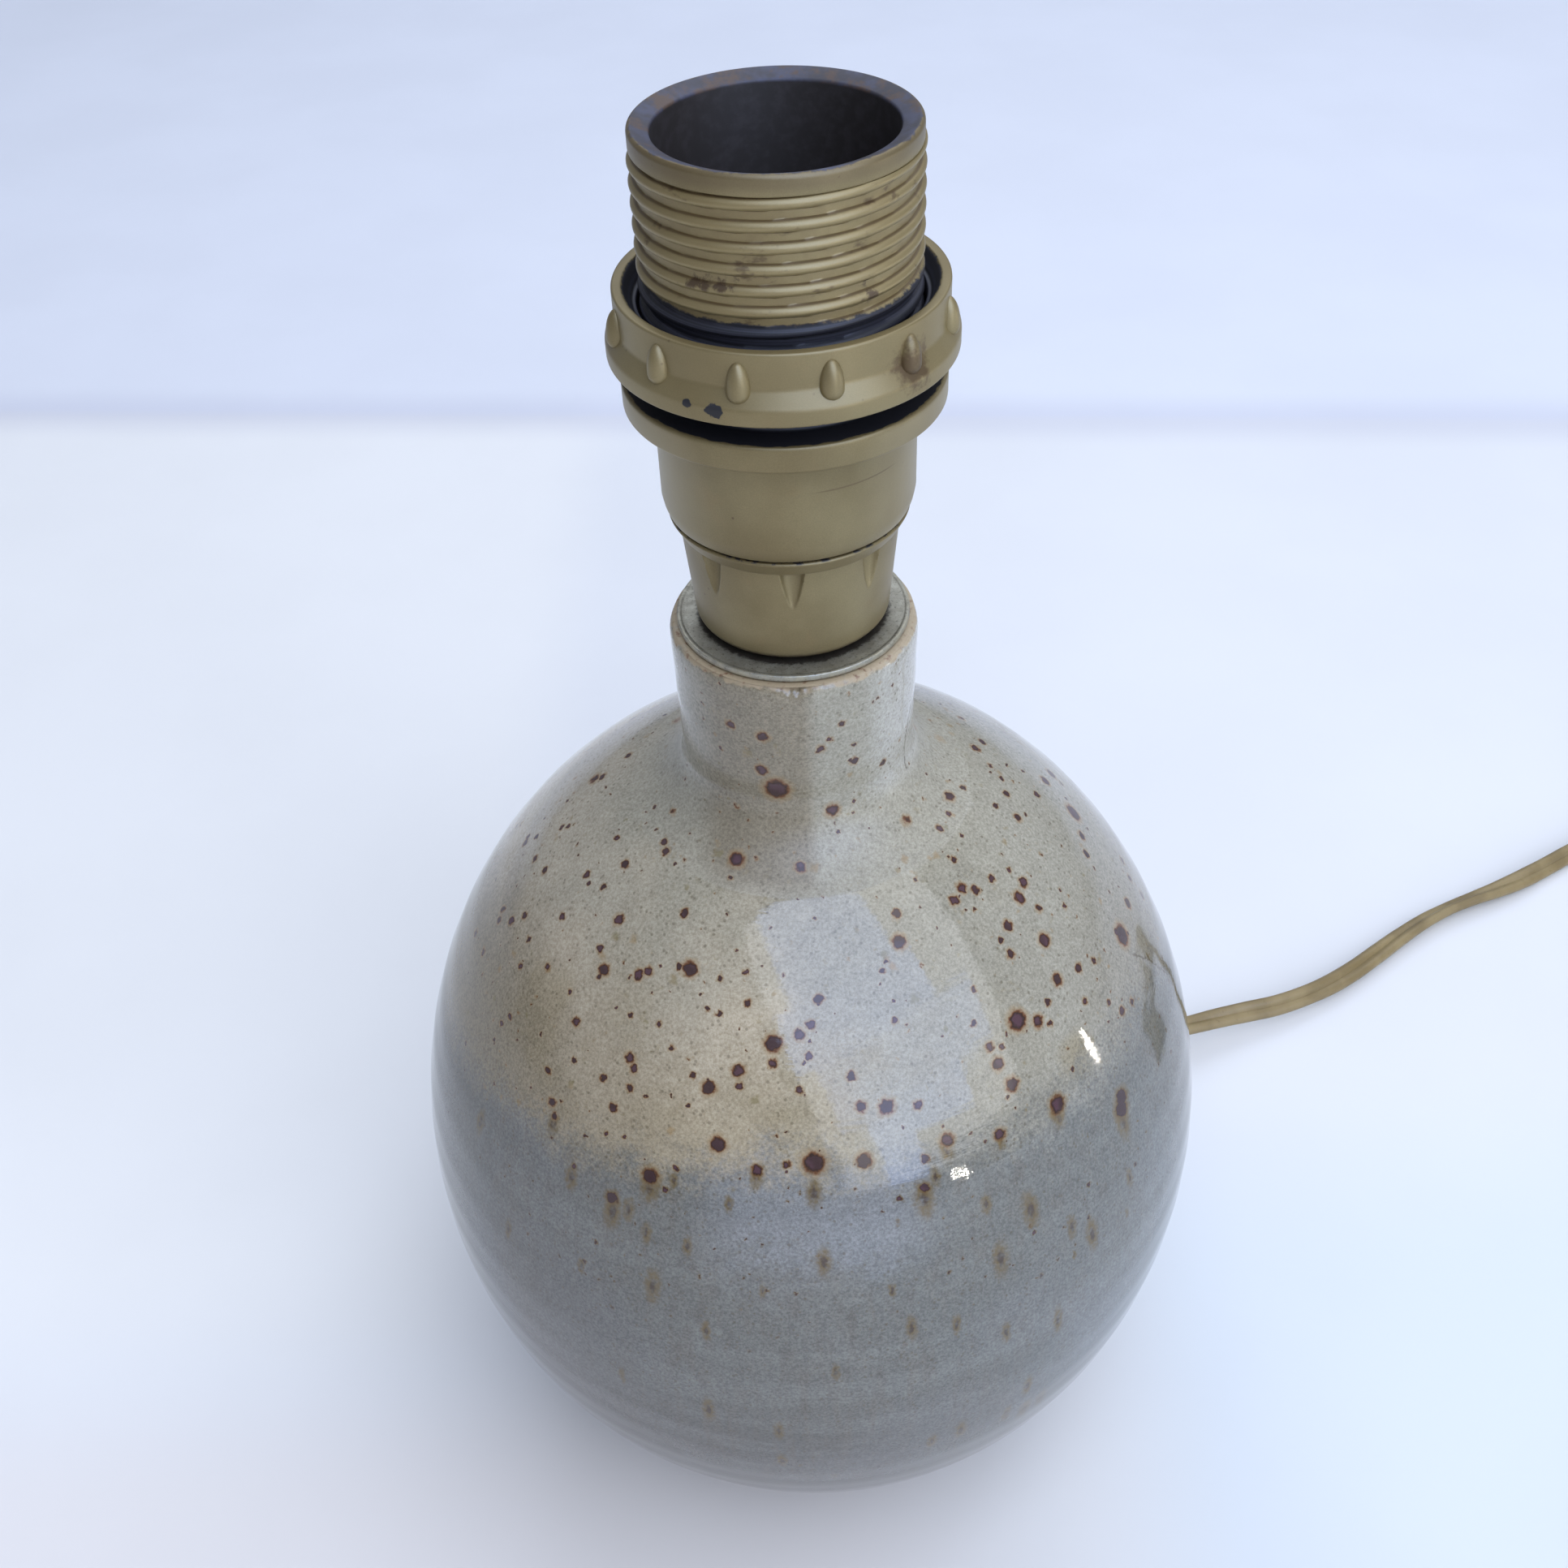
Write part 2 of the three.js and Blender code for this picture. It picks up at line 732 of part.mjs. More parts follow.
function makeTerminal(side, name, postX) {
  const half = terminalSize / 2;
  const x = side * terminalX;
  const body = block([x - half, -half, terminalLow], [x + half, half, terminalTop]);
  const post = rod(postRadius, terminalLow + half, insulatorFloorTop, screwSteps)
    .translate(postX, 0, 0);
  const middle = terminalLow + terminalHeight / 2;
  const screwAt = (geometry) =>
    layAlongX(geometry).rotateZ(-Math.PI / 2).translate(x, 0, middle);
  const shankEnd = half + gap;
  const hole = screwAt(
    rod(terminalScrewRadius + gap, half - terminalScrewDepth, half + overrun, screwSteps),
  );
  addPiece(`terminal_${name}`, cut(join(body, post), hole), brass);
  const screw = revolve(
    [
      [0, half + gap - terminalScrewDepth],
      [terminalScrewRadius, half + gap - terminalScrewDepth],
      [terminalScrewRadius, shankEnd],
      [terminalHeadRadius, shankEnd],
      [terminalHeadRadius, shankEnd + terminalHeadHeight],
      [0, shankEnd + terminalHeadHeight],
    ],
    screwSteps,
  );
  addPiece(`terminal_screw_${name}`, screwAt(screw), zincSteel);
}

// Routes of wires and flex are points chosen by hand; a wire's stand on the end of the flex
const liveWireRoute = [
  [0.8, -1.1, 0.3], [1.1, -1.1, 1.6], [3.5, -0.9, 3.6], [6.8, -0.3, 5.4],
  [8.5, 0, 7.4], [8.5, 0, 9.1],
];

// Inside the body, as distance out along the exit's direction and height
const hangShares = [
  [0, 0.97], [0.018, 0.87], [0.065, 0.72], [0.14, 0.557], [0.24, 0.386], [0.37, 0.214],
  [0.545, 0.079], [0.72, 0.018], [0.89, 0.001], [1, 0],
]; // of the bush's inner end, and of the drop from the tube's foot to the bush
const insideRoute = [
  [0, flexTop],
  [0, (flexTop + tubeLow) / 2],
  [0, tubeLow],
  ...hangShares.map(([outShare, upShare]) => [
    outShare * bushInnerEnd,
    THREE.MathUtils.lerp(flexExitHeight, tubeLow, upShare),
  ]),
  [bushShoulder, flexExitHeight],
  [bushOuterEnd, flexExitHeight],
];

// From the bush to the switch, as it lies in the photograph and on past its edge
const leadRoute = [
  [60.05, 42.05, 14], [66.2, 46.3, 13.9], [72.5, 50.6, 13.2], [80.5, 55.5, 11.7],
  [89.5, 59.9, 9.9], [98.8, 63.3, 8.2], [105.6, 65.7, 7.4], [114.1, 68.4, 6.4],
  [122.6, 71, 5.5], [130.7, 74.4, 4.8], [139.2, 78.9, 4.1], [147.1, 84.2, 3.5],
  [155.4, 90.5, 3.1], [163.8, 96.8, 2.9], [172.1, 102.3, 2.9], [180.2, 106.6, 2.9],
  [187.9, 109.9, 2.9], [195.6, 113, 2.9], [203.7, 116.8, 2.9], [212.4, 121.6, 2.9],
  [219.6, 125.8, 2.9], [228.5, 130.4, 3], [237.5, 134.4, 3.6], [246, 137.7, 4.9],
  [254, 140.5, 6.5], [258, 141.8, 6.9], [262, 143.1, 7],
];

// From the switch round to the coil
const runRoute = [
  [317.9, 160.7, 7], [321.8, 161.9, 7], [326.5, 163.3, 6.8], [332.5, 164, 6.4],
  [339.4, 162.7, 5.8], [346, 158.9, 5.2], [351, 153, 4.6], [353.4, 145.8, 4.2],
  [353.9, 138, 3.9], [353.2, 129, 3.8], [352.1, 119, 3.8], [351.1, 110, 3.8],
  [350.8, 104.6, 3.8], [350.8, 100.7, 3.8],
];

// From the coil to the plug
const tailRoute = [
  [306.3, 56.2, 9.7], [302.5, 56.2, 9.7], [298, 56.2, 9.5], [293.5, 56.2, 8.7],
  [289.5, 56.2, 7.6], [286.5, 56.2, 7], [283.6, 56.2, 6.85],
];

function sidewaysOf(tangent, tilt) {
  const level = new THREE.Vector3(0, 0, 1).cross(tangent).normalize();
  return level.applyAxisAngle(tangent, tilt);
}

// Frames that keep a flat section square to its line, with its wide side along sidewaysAt(share, tangent)
function flatFrames(curve, steps, sidewaysAt) {
  const frames = { tangents: [], normals: [], binormals: [] };
  for (let i = 0; i <= steps; i += 1) {
    const tangent = curve.getTangentAt(i / steps);
    const sideways = sidewaysAt(i / steps, tangent);
    sideways.addScaledVector(tangent, -sideways.dot(tangent)).normalize();
    frames.tangents.push(tangent);
    frames.binormals.push(sideways);
    frames.normals.push(new THREE.Vector3().crossVectors(sideways, tangent));
  }
  return frames;
}

class FlexRoute extends THREE.CatmullRomCurve3 {
  constructor(points, sidewaysAt) {
    super(points.map((point) => new THREE.Vector3(...point)), false, 'centripetal');
    this.sidewaysAt = sidewaysAt;
  }

  computeFrenetFrames(steps) {
    return flatFrames(this, steps, this.sidewaysAt);
  }
}

// Tilt of the wide side from level, in degrees, changed evenly along the route
function tilted(points, startTilt, endTilt) {
  return new FlexRoute(points, (share, tangent) =>
    sidewaysOf(tangent, THREE.MathUtils.degToRad(THREE.MathUtils.lerp(startTilt, endTilt, share))));
}

// Two round cores side by side, with a groove between them
function twinSection() {
  const core = flexThickness / 2;
  const offset = flexWidth / 2 - core;
  const waist = core * flexWaistShare;
  const cornerShare = Math.SQRT1_2;
  const upper = [
    [0, offset + core],
    [core * cornerShare, offset + core * cornerShare],
    [core, offset],
    [waist, 0],
    [core, -offset],
    [core * cornerShare, -offset - core * cornerShare],
  ];
  return polygon([...upper, ...upper.map(([x, y]) => [-x, -y])]);
}

function flatSection() {
  const [x, y] = [flexThickness / 2, flexWidth / 2];
  return polygon([[x, y / 2], [0, y], [-x, y / 2], [-x, -y / 2], [0, -y], [x, -y / 2]]);
}

function roundSection(radius, sides) {
  const shape = new THREE.Shape();
  shape.absarc(0, 0, radius, 0, circle, false);
  return polygon(shape.getPoints(sides).slice(0, sides).map(({ x, y }) => [x, y]));
}

function alongPath(section, path, steps) {
  return new THREE.ExtrudeGeometry(section, { steps, extrudePath: path });
}

const wireSteps = 10;
const wireSides = 8;

function makeWires() {
  const opposite = liveWireRoute.map(([x, y, rise]) => [-x, -y, rise]);
  for (const [name, route, material] of [
    ['wire_live', liveWireRoute, liveWire],
    ['wire_neutral', opposite, neutralWire],
  ]) {
    const path = new THREE.CatmullRomCurve3(
      route.map(([x, y, rise]) => new THREE.Vector3(x, y, flexTop + rise)),
    );
    addPiece(name, alongPath(roundSection(wireRadius, wireSides), path, wireSteps), material);
  }
}

// Flex through the tube, down the body and out through the bush
const insideSteps = 24;

function makeInsideFlex() {
  const angle = THREE.MathUtils.degToRad(flexExitAngle);
  const points = insideRoute.map(([out, z]) => [out * Math.cos(angle), out * Math.sin(angle), z]);
  const across = () => new THREE.Vector3(-Math.sin(angle), Math.cos(angle), 0);
  addPiece('flex_inside', alongPath(flatSection(), new FlexRoute(points, across), insideSteps), goldFlex);
}

// Tapered bush in the cord hole
function makeCordBush() {
  const barrel = cordHoleRadius - gap;
  const profile = [
    [0, bushInnerEnd],
    [barrel, bushInnerEnd],
    [barrel, bushShoulder],
    [bushTipRadius, bushOuterEnd - bushRound],
    [bushTipRadius - bushRound, bushOuterEnd],
    [0, bushOuterEnd],
  ];
  const [x, y] = [flexThickness / 2 + gap, flexWidth / 2 + gap];
  const slot = block(
    [bushInnerEnd - overrun, -y, -x],
    [bushOuterEnd + overrun, y, x],
  );
  const bush = cut(layAlongX(revolve(profile, innerSteps)), slot);
  addPiece('cord_bush', atFlexExit(bush.translate(0, 0, flexExitHeight)), clearBush);
}

// Stored flex: a spiral in on the lower layer, a climb, and a spiral out on the upper layer
class CoilCurve extends THREE.Curve {
  constructor() {
    super();
    this.turns = 2 * coilLayerTurns + coilClimbTurns;
    this.straight = flexWidth;
    this.innerRadius = coilRadius - coilTurnSpacing * coilLayerTurns;
    const meanRadius = (coilRadius + this.innerRadius) / 2;
    this.woundLength = circle * meanRadius * this.turns;
    this.length = this.woundLength + 2 * this.straight;
  }

  radiusAt(turn) {
    const reversal = coilLayerTurns + coilClimbTurns / 2;
    const toReversal = Math.abs(turn - reversal);
    return this.innerRadius + coilTurnSpacing * (toReversal - coilClimbTurns / 2);
  }

  heightAt(turn) {
    const start = coilLayerTurns + coilClimbTurns * coilClimbStartShare;
    const end = coilLayerTurns + coilClimbTurns * coilClimbEndShare;
    return coilLowLayer + coilLayerSpacing * THREE.MathUtils.smoothstep(turn, start, end);
  }

  woundPoint(turn, target) {
    const angle = -turn * circle;
    const radius = this.radiusAt(turn);
    return target.set(
      coilX + radius * Math.cos(angle),
      coilY + radius * Math.sin(angle),
      this.heightAt(turn),
    );
  }

  getPoint(share, target = new THREE.Vector3()) {
    const along = share * this.length - this.straight;
    if (along < 0) return this.woundPoint(0, target).add(new THREE.Vector3(0, -along, 0));
    const past = along - this.woundLength;
    if (past > 0) return this.woundPoint(this.turns, target).add(new THREE.Vector3(-past, 0, 0));
    return this.woundPoint((along / this.woundLength) * this.turns, target);
  }

  computeFrenetFrames(steps) {
    return flatFrames(this, steps, () => new THREE.Vector3(0, 0, 1));
  }
}

// Least gap between the turns of the coil, on points, from the box of the flat section
function coilLeastGap(curve) {
  const samples = [];
  const perTurn = coilStepsPerTurn;
  const count = Math.round(curve.turns * perTurn);
  for (let i = 0; i <= count; i += 1) {
    const turn = i / perTurn;
    samples.push([curve.radiusAt(turn), curve.heightAt(turn)]);
  }
  let least = Infinity;
  for (let i = 0; i < samples.length; i += 1) {
    for (let j = i + perTurn; j < samples.length; j += perTurn) {
      const across = Math.abs(samples[i][0] - samples[j][0]) - flexThickness;
      const up = Math.abs(samples[i][1] - samples[j][1]) - flexWidth;
      least = Math.min(least, Math.hypot(Math.max(across, 0), Math.max(up, 0)));
    }
  }
  return least;
}

function makeCoil() {
  const curve = new CoilCurve();
  const steps = Math.round(curve.turns * coilStepsPerTurn);
  addPiece('flex_coil', alongPath(flatSection(), curve, steps), goldFlex);
  console.log(`least gap between the coil's turns: ${coilLeastGap(curve).toFixed(2)} mm`);
}

// Tie round the bundle of turns
function makeTie() {
  const dip = (coilTurnSpacing * coilClimbTurns) / 2;
  const innerTurn = coilRadius - coilTurnSpacing * coilLayerTurns - dip;
  const side = flexThickness / 2 + 2 * gap;
  const [near, far] = [innerTurn - side, coilRadius + side];
  const low = tieThickness;
  const high = coilLift + flexWidth + coilLayerSpacing + gap;
  const ring = polygon([
    [near - tieThickness, 0],
    [far + tieThickness, 0],
    [far + tieThickness, high + tieThickness],
    [near - tieThickness, high + tieThickness],
  ]);
  ring.holes.push(polygon([[near, low], [near, high], [far, high], [far, low]]));
  const strap = extrude(ring, tieWidth)
    .rotateX(Math.PI / 2)
    .translate(0, tieWidth / 2, 0)
    .rotateZ(THREE.MathUtils.degToRad(tieAngle))
    .translate(coilX, coilY, 0);
  addPiece('coil_tie', strap, tieRibbon);
}

// Free stretches of the flex
const leadSteps = 36;
const runSteps = 14;
const tailSteps = 6;

function makeFreeFlex() {
  const lead = alongPath(twinSection(), tilted(leadRoute, 0, 0), leadSteps);
  addPiece('flex_lead', lead, goldFlex);
  const run = alongPath(twinSection(), tilted(runRoute, 0, 90), runSteps);
  addPiece('flex_run', run, goldFlex);
  const tail = alongPath(twinSection(), tilted(tailRoute, 90, 0), tailSteps);
  addPiece('flex_tail', tail, goldFlex);
}

// In-line switch, made level about its own middle with its length along X
function switchOutline(inset) {
  const [x, y, nose] = [switchLength / 2 - inset, switchWidth / 2 - inset, switchNose - inset];
  const taperX = switchLength / 2 - switchTaper;
  return polygon([
    [-taperX, -y], [taperX, -y], [x, -nose], [x, nose], [taperX, y], [-taperX, y],
    [-x, nose], [-x, -nose],
  ]);
}

// A slab with the outline of the switch, bevelled round its underside
function switchSlab(height) {
  const slab = extrude(switchOutline(switchBevel), height - switchBevel, {
    bevelEnabled: true,
    bevelThickness: switchBevel,
    bevelSize: switchBevel,
    bevelSegments: 1,
  }).translate(0, 0, switchBevel);
  const [x, y] = [switchLength, switchWidth];
  const spare = block([-x, -y, height], [x, y, height + overrun]);
  return cut(slab, spare);
}

function switchScrewPlaces() {
  return [[switchScrewX, switchScrewY], [-switchScrewX, -switchScrewY]];
}

function makeSwitch() {
  const group = new THREE.Group();
  const [x, y] = leadRoute.at(-1);
  const heading = THREE.MathUtils.degToRad(switchHeading);
  const reach = gap + switchLength / 2;
  group.position.set(x + reach * Math.cos(heading), y + reach * Math.sin(heading), 0);
  group.rotation.z = heading;
  lamp.add(group);

  const pocketX = switchLength / 2 - switchEndWall - switchTaper / 2;
  const pocketY = switchWidth / 2 - switchRimWidth;
  const coverLow = switchBaseHeight + gap;
  const coverPocketTop = switchTop - switchFloor;
  const screwTop = coverLow + switchScrewReach;
  const shaftHoles = switchScrewPlaces().map(([sx, sy]) =>
    rod(switchScrewRadius + gap, switchScrewHeadHeight, screwTop + gap, screwSteps)
      .translate(sx, sy, 0));
  const headHoles = switchScrewPlaces().map(([sx, sy]) =>
    rod(switchScrewHead + gap, -overrun, switchScrewHeadHeight + 2 * gap, screwSteps)
      .translate(sx, sy, 0));
  const basePocket = block(
    [-pocketX, -pocketY, switchFloor],
    [pocketX, pocketY, switchBaseHeight + overrun],
  );
  const base = cut(switchSlab(switchBaseHeight), basePocket, ...shaftHoles, ...headHoles);
  addPiece('switch_base', base, goldMoulding, group);

  const coverPocket = block(
    [-pocketX, -pocketY, coverLow - overrun],
    [pocketX, pocketY, coverPocketTop],
  );
  const window = block(
    [-windowLength / 2, -windowWidth / 2, coverLow],
    [windowLength / 2, windowWidth / 2, switchTop + overrun],
  );
  const pinHalf = pocketY + pivotPinSeat;
  const pinAcross = (radius, half) =>
    layAlongX(rod(radius, -half, half, screwSteps))
      .rotateZ(Math.PI / 2)
      .translate(0, 0, rockerPivotHeight);
  const cover = cut(
    switchSlab(switchCoverHeight).rotateX(Math.PI).translate(0, 0, switchTop),
    coverPocket,
    window,
    pinAcross(pivotPinRadius + gap, pinHalf + gap),
    ...shaftHoles,
  );
  addPiece('switch_cover', cover, goldMoulding, group);
  addPiece('rocker_pin', pinAcross(pivotPinRadius, pinHalf), zincSteel, group);

  const rockerSide = polygon([
    [-rockerBottomLength / 2, -rockerDrop],
    [rockerBottomLength / 2, -rockerDrop],
    [rockerLength / 2, 0],
    [rockerLength / 2, rockerRise],
    [0, rockerRise - rockerDip],
    [-rockerLength / 2, rockerRise],
    [-rockerLength / 2, 0],
  ]);
  const rocker = cut(
    extrude(rockerSide, rockerWidth)
      .rotateX(Math.PI / 2)
      .translate(0, rockerWidth / 2, 0)
      .rotateY(THREE.MathUtils.degToRad(rockerTilt))
      .translate(0, 0, rockerPivotHeight),
    pinAcross(pivotPinRadius + gap, switchWidth),
  );
  addPiece('switch_rocker', rocker, darkMoulding, group);

  switchScrewPlaces().forEach(([sx, sy], i) => {
    const screw = revolve(
      [
        [0, gap],
        [switchScrewHead, gap],
        [switchScrewHead, switchScrewHeadHeight + gap],
        [switchScrewRadius, switchScrewHeadHeight + gap],
        [switchScrewRadius, screwTop],
        [0, screwTop],
      ],
      screwSteps,
    );
    addPiece(`switch_screw_${i + 1}`, screw.translate(sx, sy, 0), zincSteel, group);
  });

  const stripLow = switchFloor + gap;
  for (const [name, side] of [['in', -1], ['out', 1]]) {
    const nearX = side * (pocketX - gap);
    const farX = side * (pocketX - gap - stripLength);
    const strip = block(
      [Math.min(nearX, farX), stripY - stripWidth / 2, stripLow],
      [Math.max(nearX, farX), stripY + stripWidth / 2, stripLow + stripThickness],
    );
    addPiece(`switch_contact_${name}`, strip, brass, group);
  }
  const core = layAlongX(
    rod(throughCoreRadius, gap - pocketX, pocketX - gap, wireSides),
  ).translate(0, throughCoreY, stripLow + throughCoreRadius);
  addPiece('switch_through_core', core, neutralWire, group);
}

// Two pin plug, made along +X from the flex to the pins
function makePlug() {
  const group = new THREE.Group();
  const [x, y] = tailRoute.at(-1);
  group.position.set(x - gap, y, plugBodyThickness / 2);
  group.rotation.z = Math.PI;
  lamp.add(group);

  const face = plugNoseLength + plugBodyLength;
  const width = plugBodyWidth / 2 - plugBevel;
  const rear = plugRearWidth / 2 - plugBevel;
  const outline = [
    [plugNoseLength + plugBevel, -rear],
    [plugNoseLength + plugBodyLength * plugWaistShare, -width * plugShoulderWidthShare],
    [plugNoseLength + plugBodyLength * plugShoulderShare, -width],
    [face - plugBevel, -width],
  ];
  const mirrored = outline.map(([px, py]) => [px, -py]).reverse();
  const body = extrude(
    polygon([...outline, ...mirrored]),
    plugBodyThickness - 2 * plugBevel,
    {
      bevelEnabled: true,
      bevelThickness: plugBevel,
      bevelSize: plugBevel,
      bevelSegments: 2,
    },
  ).translate(0, 0, plugBevel - plugBodyThickness / 2);
  const nose = layAlongX(
    revolve(
      [
        [0, 0],
        [plugNoseStartRadius, 0],
        [plugNoseEndRadius, plugNoseLength + 2 * plugBevel],
        [0, plugNoseLength + 2 * plugBevel],
      ],
      screwSteps,
    ),
  );
  const pinStart = face - pinSeat;
  const sides = [['a', -1], ['b', 1]];
  const seats = sides.map(([, side]) =>
    layAlongX(rod(pinRadius + gap, pinStart - gap, face + overrun, screwSteps))
      .translate(0, (side * pinSpacing) / 2, 0));
  addPiece('plug_body', cut(join(body, nose), ...seats), goldMoulding, group);
  for (const [name, side] of sides) {
    const pin = revolve(
      [
        [0, pinStart],
        [pinRadius, pinStart],
        [pinRadius, face + pinLength - pinTip],
        [pinRadius - pinTip, face + pinLength],
        [0, face + pinLength],
      ],
      screwSteps,
    );
    addPiece(
      `plug_pin_${name}`,
      layAlongX(pin).translate(0, (side * pinSpacing) / 2, 0),
      brass,
      group,
    );
  }
}

makeBody();
makeNeckFittings();
makeCap();
makeShell();
makeShadeRing();
makeInsulator();
makeScrewShell();
makeCentreContact();
makeTerminal(1, 'live', livePostX);
makeTerminal(-1, 'neutral', neutralPostX);
makeWires();
makeInsideFlex();
makeCordBush();
makeFreeFlex();
makeSwitch();
makeCoil();
makeTie();
makePlug();

export default lamp;
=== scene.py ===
import json
import math

import bmesh
import bpy
import numpy as np
from mathutils import Matrix, Vector


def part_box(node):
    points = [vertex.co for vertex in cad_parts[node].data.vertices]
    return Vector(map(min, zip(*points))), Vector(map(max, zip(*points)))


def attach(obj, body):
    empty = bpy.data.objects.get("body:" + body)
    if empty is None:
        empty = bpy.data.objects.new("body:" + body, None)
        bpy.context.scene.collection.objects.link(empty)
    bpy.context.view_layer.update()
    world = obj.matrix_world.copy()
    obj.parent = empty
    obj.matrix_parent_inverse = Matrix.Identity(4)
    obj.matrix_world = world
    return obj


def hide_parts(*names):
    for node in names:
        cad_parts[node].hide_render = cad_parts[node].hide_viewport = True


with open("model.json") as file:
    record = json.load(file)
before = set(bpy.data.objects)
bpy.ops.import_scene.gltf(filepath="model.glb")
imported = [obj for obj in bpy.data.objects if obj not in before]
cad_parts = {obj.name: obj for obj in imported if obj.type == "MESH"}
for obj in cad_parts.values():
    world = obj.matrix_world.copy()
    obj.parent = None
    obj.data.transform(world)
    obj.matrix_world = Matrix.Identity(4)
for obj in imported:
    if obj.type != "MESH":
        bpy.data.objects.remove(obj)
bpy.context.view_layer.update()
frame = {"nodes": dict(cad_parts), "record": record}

mm = 0.001
full_turn = 2 * math.pi
quarter_turn = math.pi / 2

# Camera, matched to the photograph
picture_size = 1932
focal_pixels = 2084
sensor_width = 36.0
camera_back = 220.12 * mm
camera_height = 347.19 * mm
camera_pitch = math.radians(41.53)
camera_roll = math.radians(-2.58)
camera_yaw = math.radians(-0.71)

# Lights. An aim is an azimuth, from the camera's side to +X, and an elevation, in degrees
window_aim = (34, 47)
window_distance = 1.5
window_size = (1.8, 2.5)
window_radiance = 2.2
window_colour = (246, 249, 255)
# Bright panes of the window: left, right, low and high, as shares of the distance in its own
# plane, and radiance
window_panes = [
    (-0.46, 0.18, 0.2, 0.86, 2.2),
    (-0.6, 0.26, -0.1, 0.2, 2.4),
    (-0.48, 0.5, -0.42, -0.1, 1.8),
    (-0.34, 0.26, -0.62, -0.42, 2.4),
    (-0.34, -0.1, -0.87, -0.62, 2.4),
]
pane_distance = 1.4
pane_colour = (70, 152, 255)
sky_aim = (165, 56)
sky_distance = 2.0
sky_size = (2.4, 1.6)
sky_radiance = 1.7
sky_colour = (236, 243, 255)
world_colour = (231, 238, 255)
world_strength = 0.3
# Bright points in the glaze: name, azimuth, elevation, width and height
glints = [("glint_low", 37.7, 2, 0.1, 0.07), ("glint_side", 85, -0.5, 0.035, 0.13)]
# Sparkles of such a point, as shares of its width and height
sparkle_shares = [
    (-0.35, 0.5), (0.25, 0.34), (-0.1, 0.12), (0.4, -0.06), (-0.4, -0.2), (0.05, -0.34), (0.3, -0.5),
]
sparkle_size = (0.008, 0.011)
sparkle_radiance = 520
sparkle_colour = (255, 250, 236)
glint_distance = 1.2

# Floor and backdrop: the pixels where the fold between them crosses the picture's sides
floor_half = 4.0
fold_pixels = [(0, 510), (picture_size, 521)]

# Meshes
merge_distance = 0.0002 * mm
clear_turn = math.radians(12)
corner_share = 0.45

# Stoneware body
body_half_height = 89.3 * mm
body_wall = 6 * mm
foot_radius = 47.1 * mm
foot_bevel = 1.2 * mm
foot_ring_width = 8 * mm
foot_recess = 2 * mm
foot_round = 0.8 * mm
body_floor = 8 * mm
mouth_round = 1 * mm
neck_radius = 19.9 * mm
neck_waist_radius = 19.4 * mm
neck_wall = 4.4 * mm
neck_fillet_rise = 8 * mm
neck_fillet_reach = 10 * mm
neck_row_height = 1.2 * mm
body_columns = 288
side_rows = 150
fillet_rows = 18
mouth_rows = 8
inside_rows = 30
side_margin = 0.01 * mm
throwing_depth = 0.07 * mm
# How the rings sway round the body: reach in radians, and waves per turn
throwing_sways = [(1.7, 1), (0.9, 2)]
throwing_pitch = 8.5 * mm
throwing_start = 12 * mm
# The worn mouth: a chip at the front, and how unevenly its edge was thrown
chip_angle = math.radians(-90)
chip_width = math.radians(6)
chip_depth = 0.75 * mm
chip_ripple = 0.4
chip_ripples = 9
chip_drop = 0.45 * mm
mouth_worn_height = 2.2 * mm
mouth_worn_depth = 0.2 * mm
mouth_wavers = [(0.12 * mm, 3, 1), (0.08 * mm, 7, 0)]

# Flex
flex_width = 5.4 * mm
flex_thickness = 2.7 * mm
flex_waist_share = 0.55
flex_step = 1.8 * mm
flex_least_step = 0.4 * mm
core_points = 9
curve_steps = 12
exit_angle = math.radians(35)
exit_height = 14 * mm
cord_hole_radius = 5 * mm
cord_hole_columns = 48

# Coil of the stored flex
coil_x = 312 * mm
coil_y = 95 * mm
coil_radius = 38.8 * mm
# Tilt of the wide side in the coil, in degrees: it stands on edge
coil_tilt = 90
coil_turn_spacing = 4.4 * mm
coil_low_layer = 3.8 * mm
coil_layer_spacing = 5.9 * mm
coil_layer_turns = 2.875
coil_climb_turns = 0.5
coil_climb_start_share = 0.2
coil_climb_end_share = 0.8
coil_points_per_turn = 60

# Ribbon tie round the coil
tie_angle = math.radians(160)
tie_thickness = 0.8 * mm
tie_width = 6 * mm
tie_clearance = 0.6 * mm
tie_bend = 2.2 * mm
tie_edge = 0.3 * mm

# Lampholder
holder_columns = 240
thread_pitch = 2.83 * mm
thread_root_radius = 18.8 * mm
thread_crest_radius = 19.7 * mm
thread_length = 30.8 * mm
thread_bead_share = 0.3
thread_bead_power = 0.7
# Where along its pitch the bead's middle stands at the front, below the rim band
thread_phase_share = 0.315
thread_row_height = 0.16 * mm
bore_radius = 16.4 * mm
rim_radius = 18.9 * mm
rim_slope = 1 * mm
rim_round = 0.5 * mm
rim_band_radius = 19.4 * mm
rim_band_height = 2.9 * mm
flange_radius = 23.4 * mm
flange_drop = 35.1 * mm
flange_thickness = 4.05 * mm
barrel_radius = 19.1 * mm
shoulder_rise = 2.8 * mm
shell_round = 0.55 * mm
shell_fine_round = 0.3 * mm
stop_depth = 17.2 * mm
stop_thickness = 1.5 * mm
stop_bore = 14.9 * mm
parting_radius = 18.35 * mm
parting_gap = 0.3 * mm
cap_ledge_drop = 2.6 * mm
cap_ledge_radius = 16.8 * mm
cap_ledge_step = 0.35 * mm
cap_ledge_rise = 0.05 * mm
cap_edge = 0.25 * mm
cap_round = 0.2 * mm
cap_row_height = 0.35 * mm
cap_foot_radius = 15.3 * mm
cap_foot_round = 1.6 * mm
cap_foot_rows = 9
cap_dish = 0.2 * mm
cap_boss_radius = 8 * mm
cap_floor = 3 * mm
cap_wall = 2.4 * mm
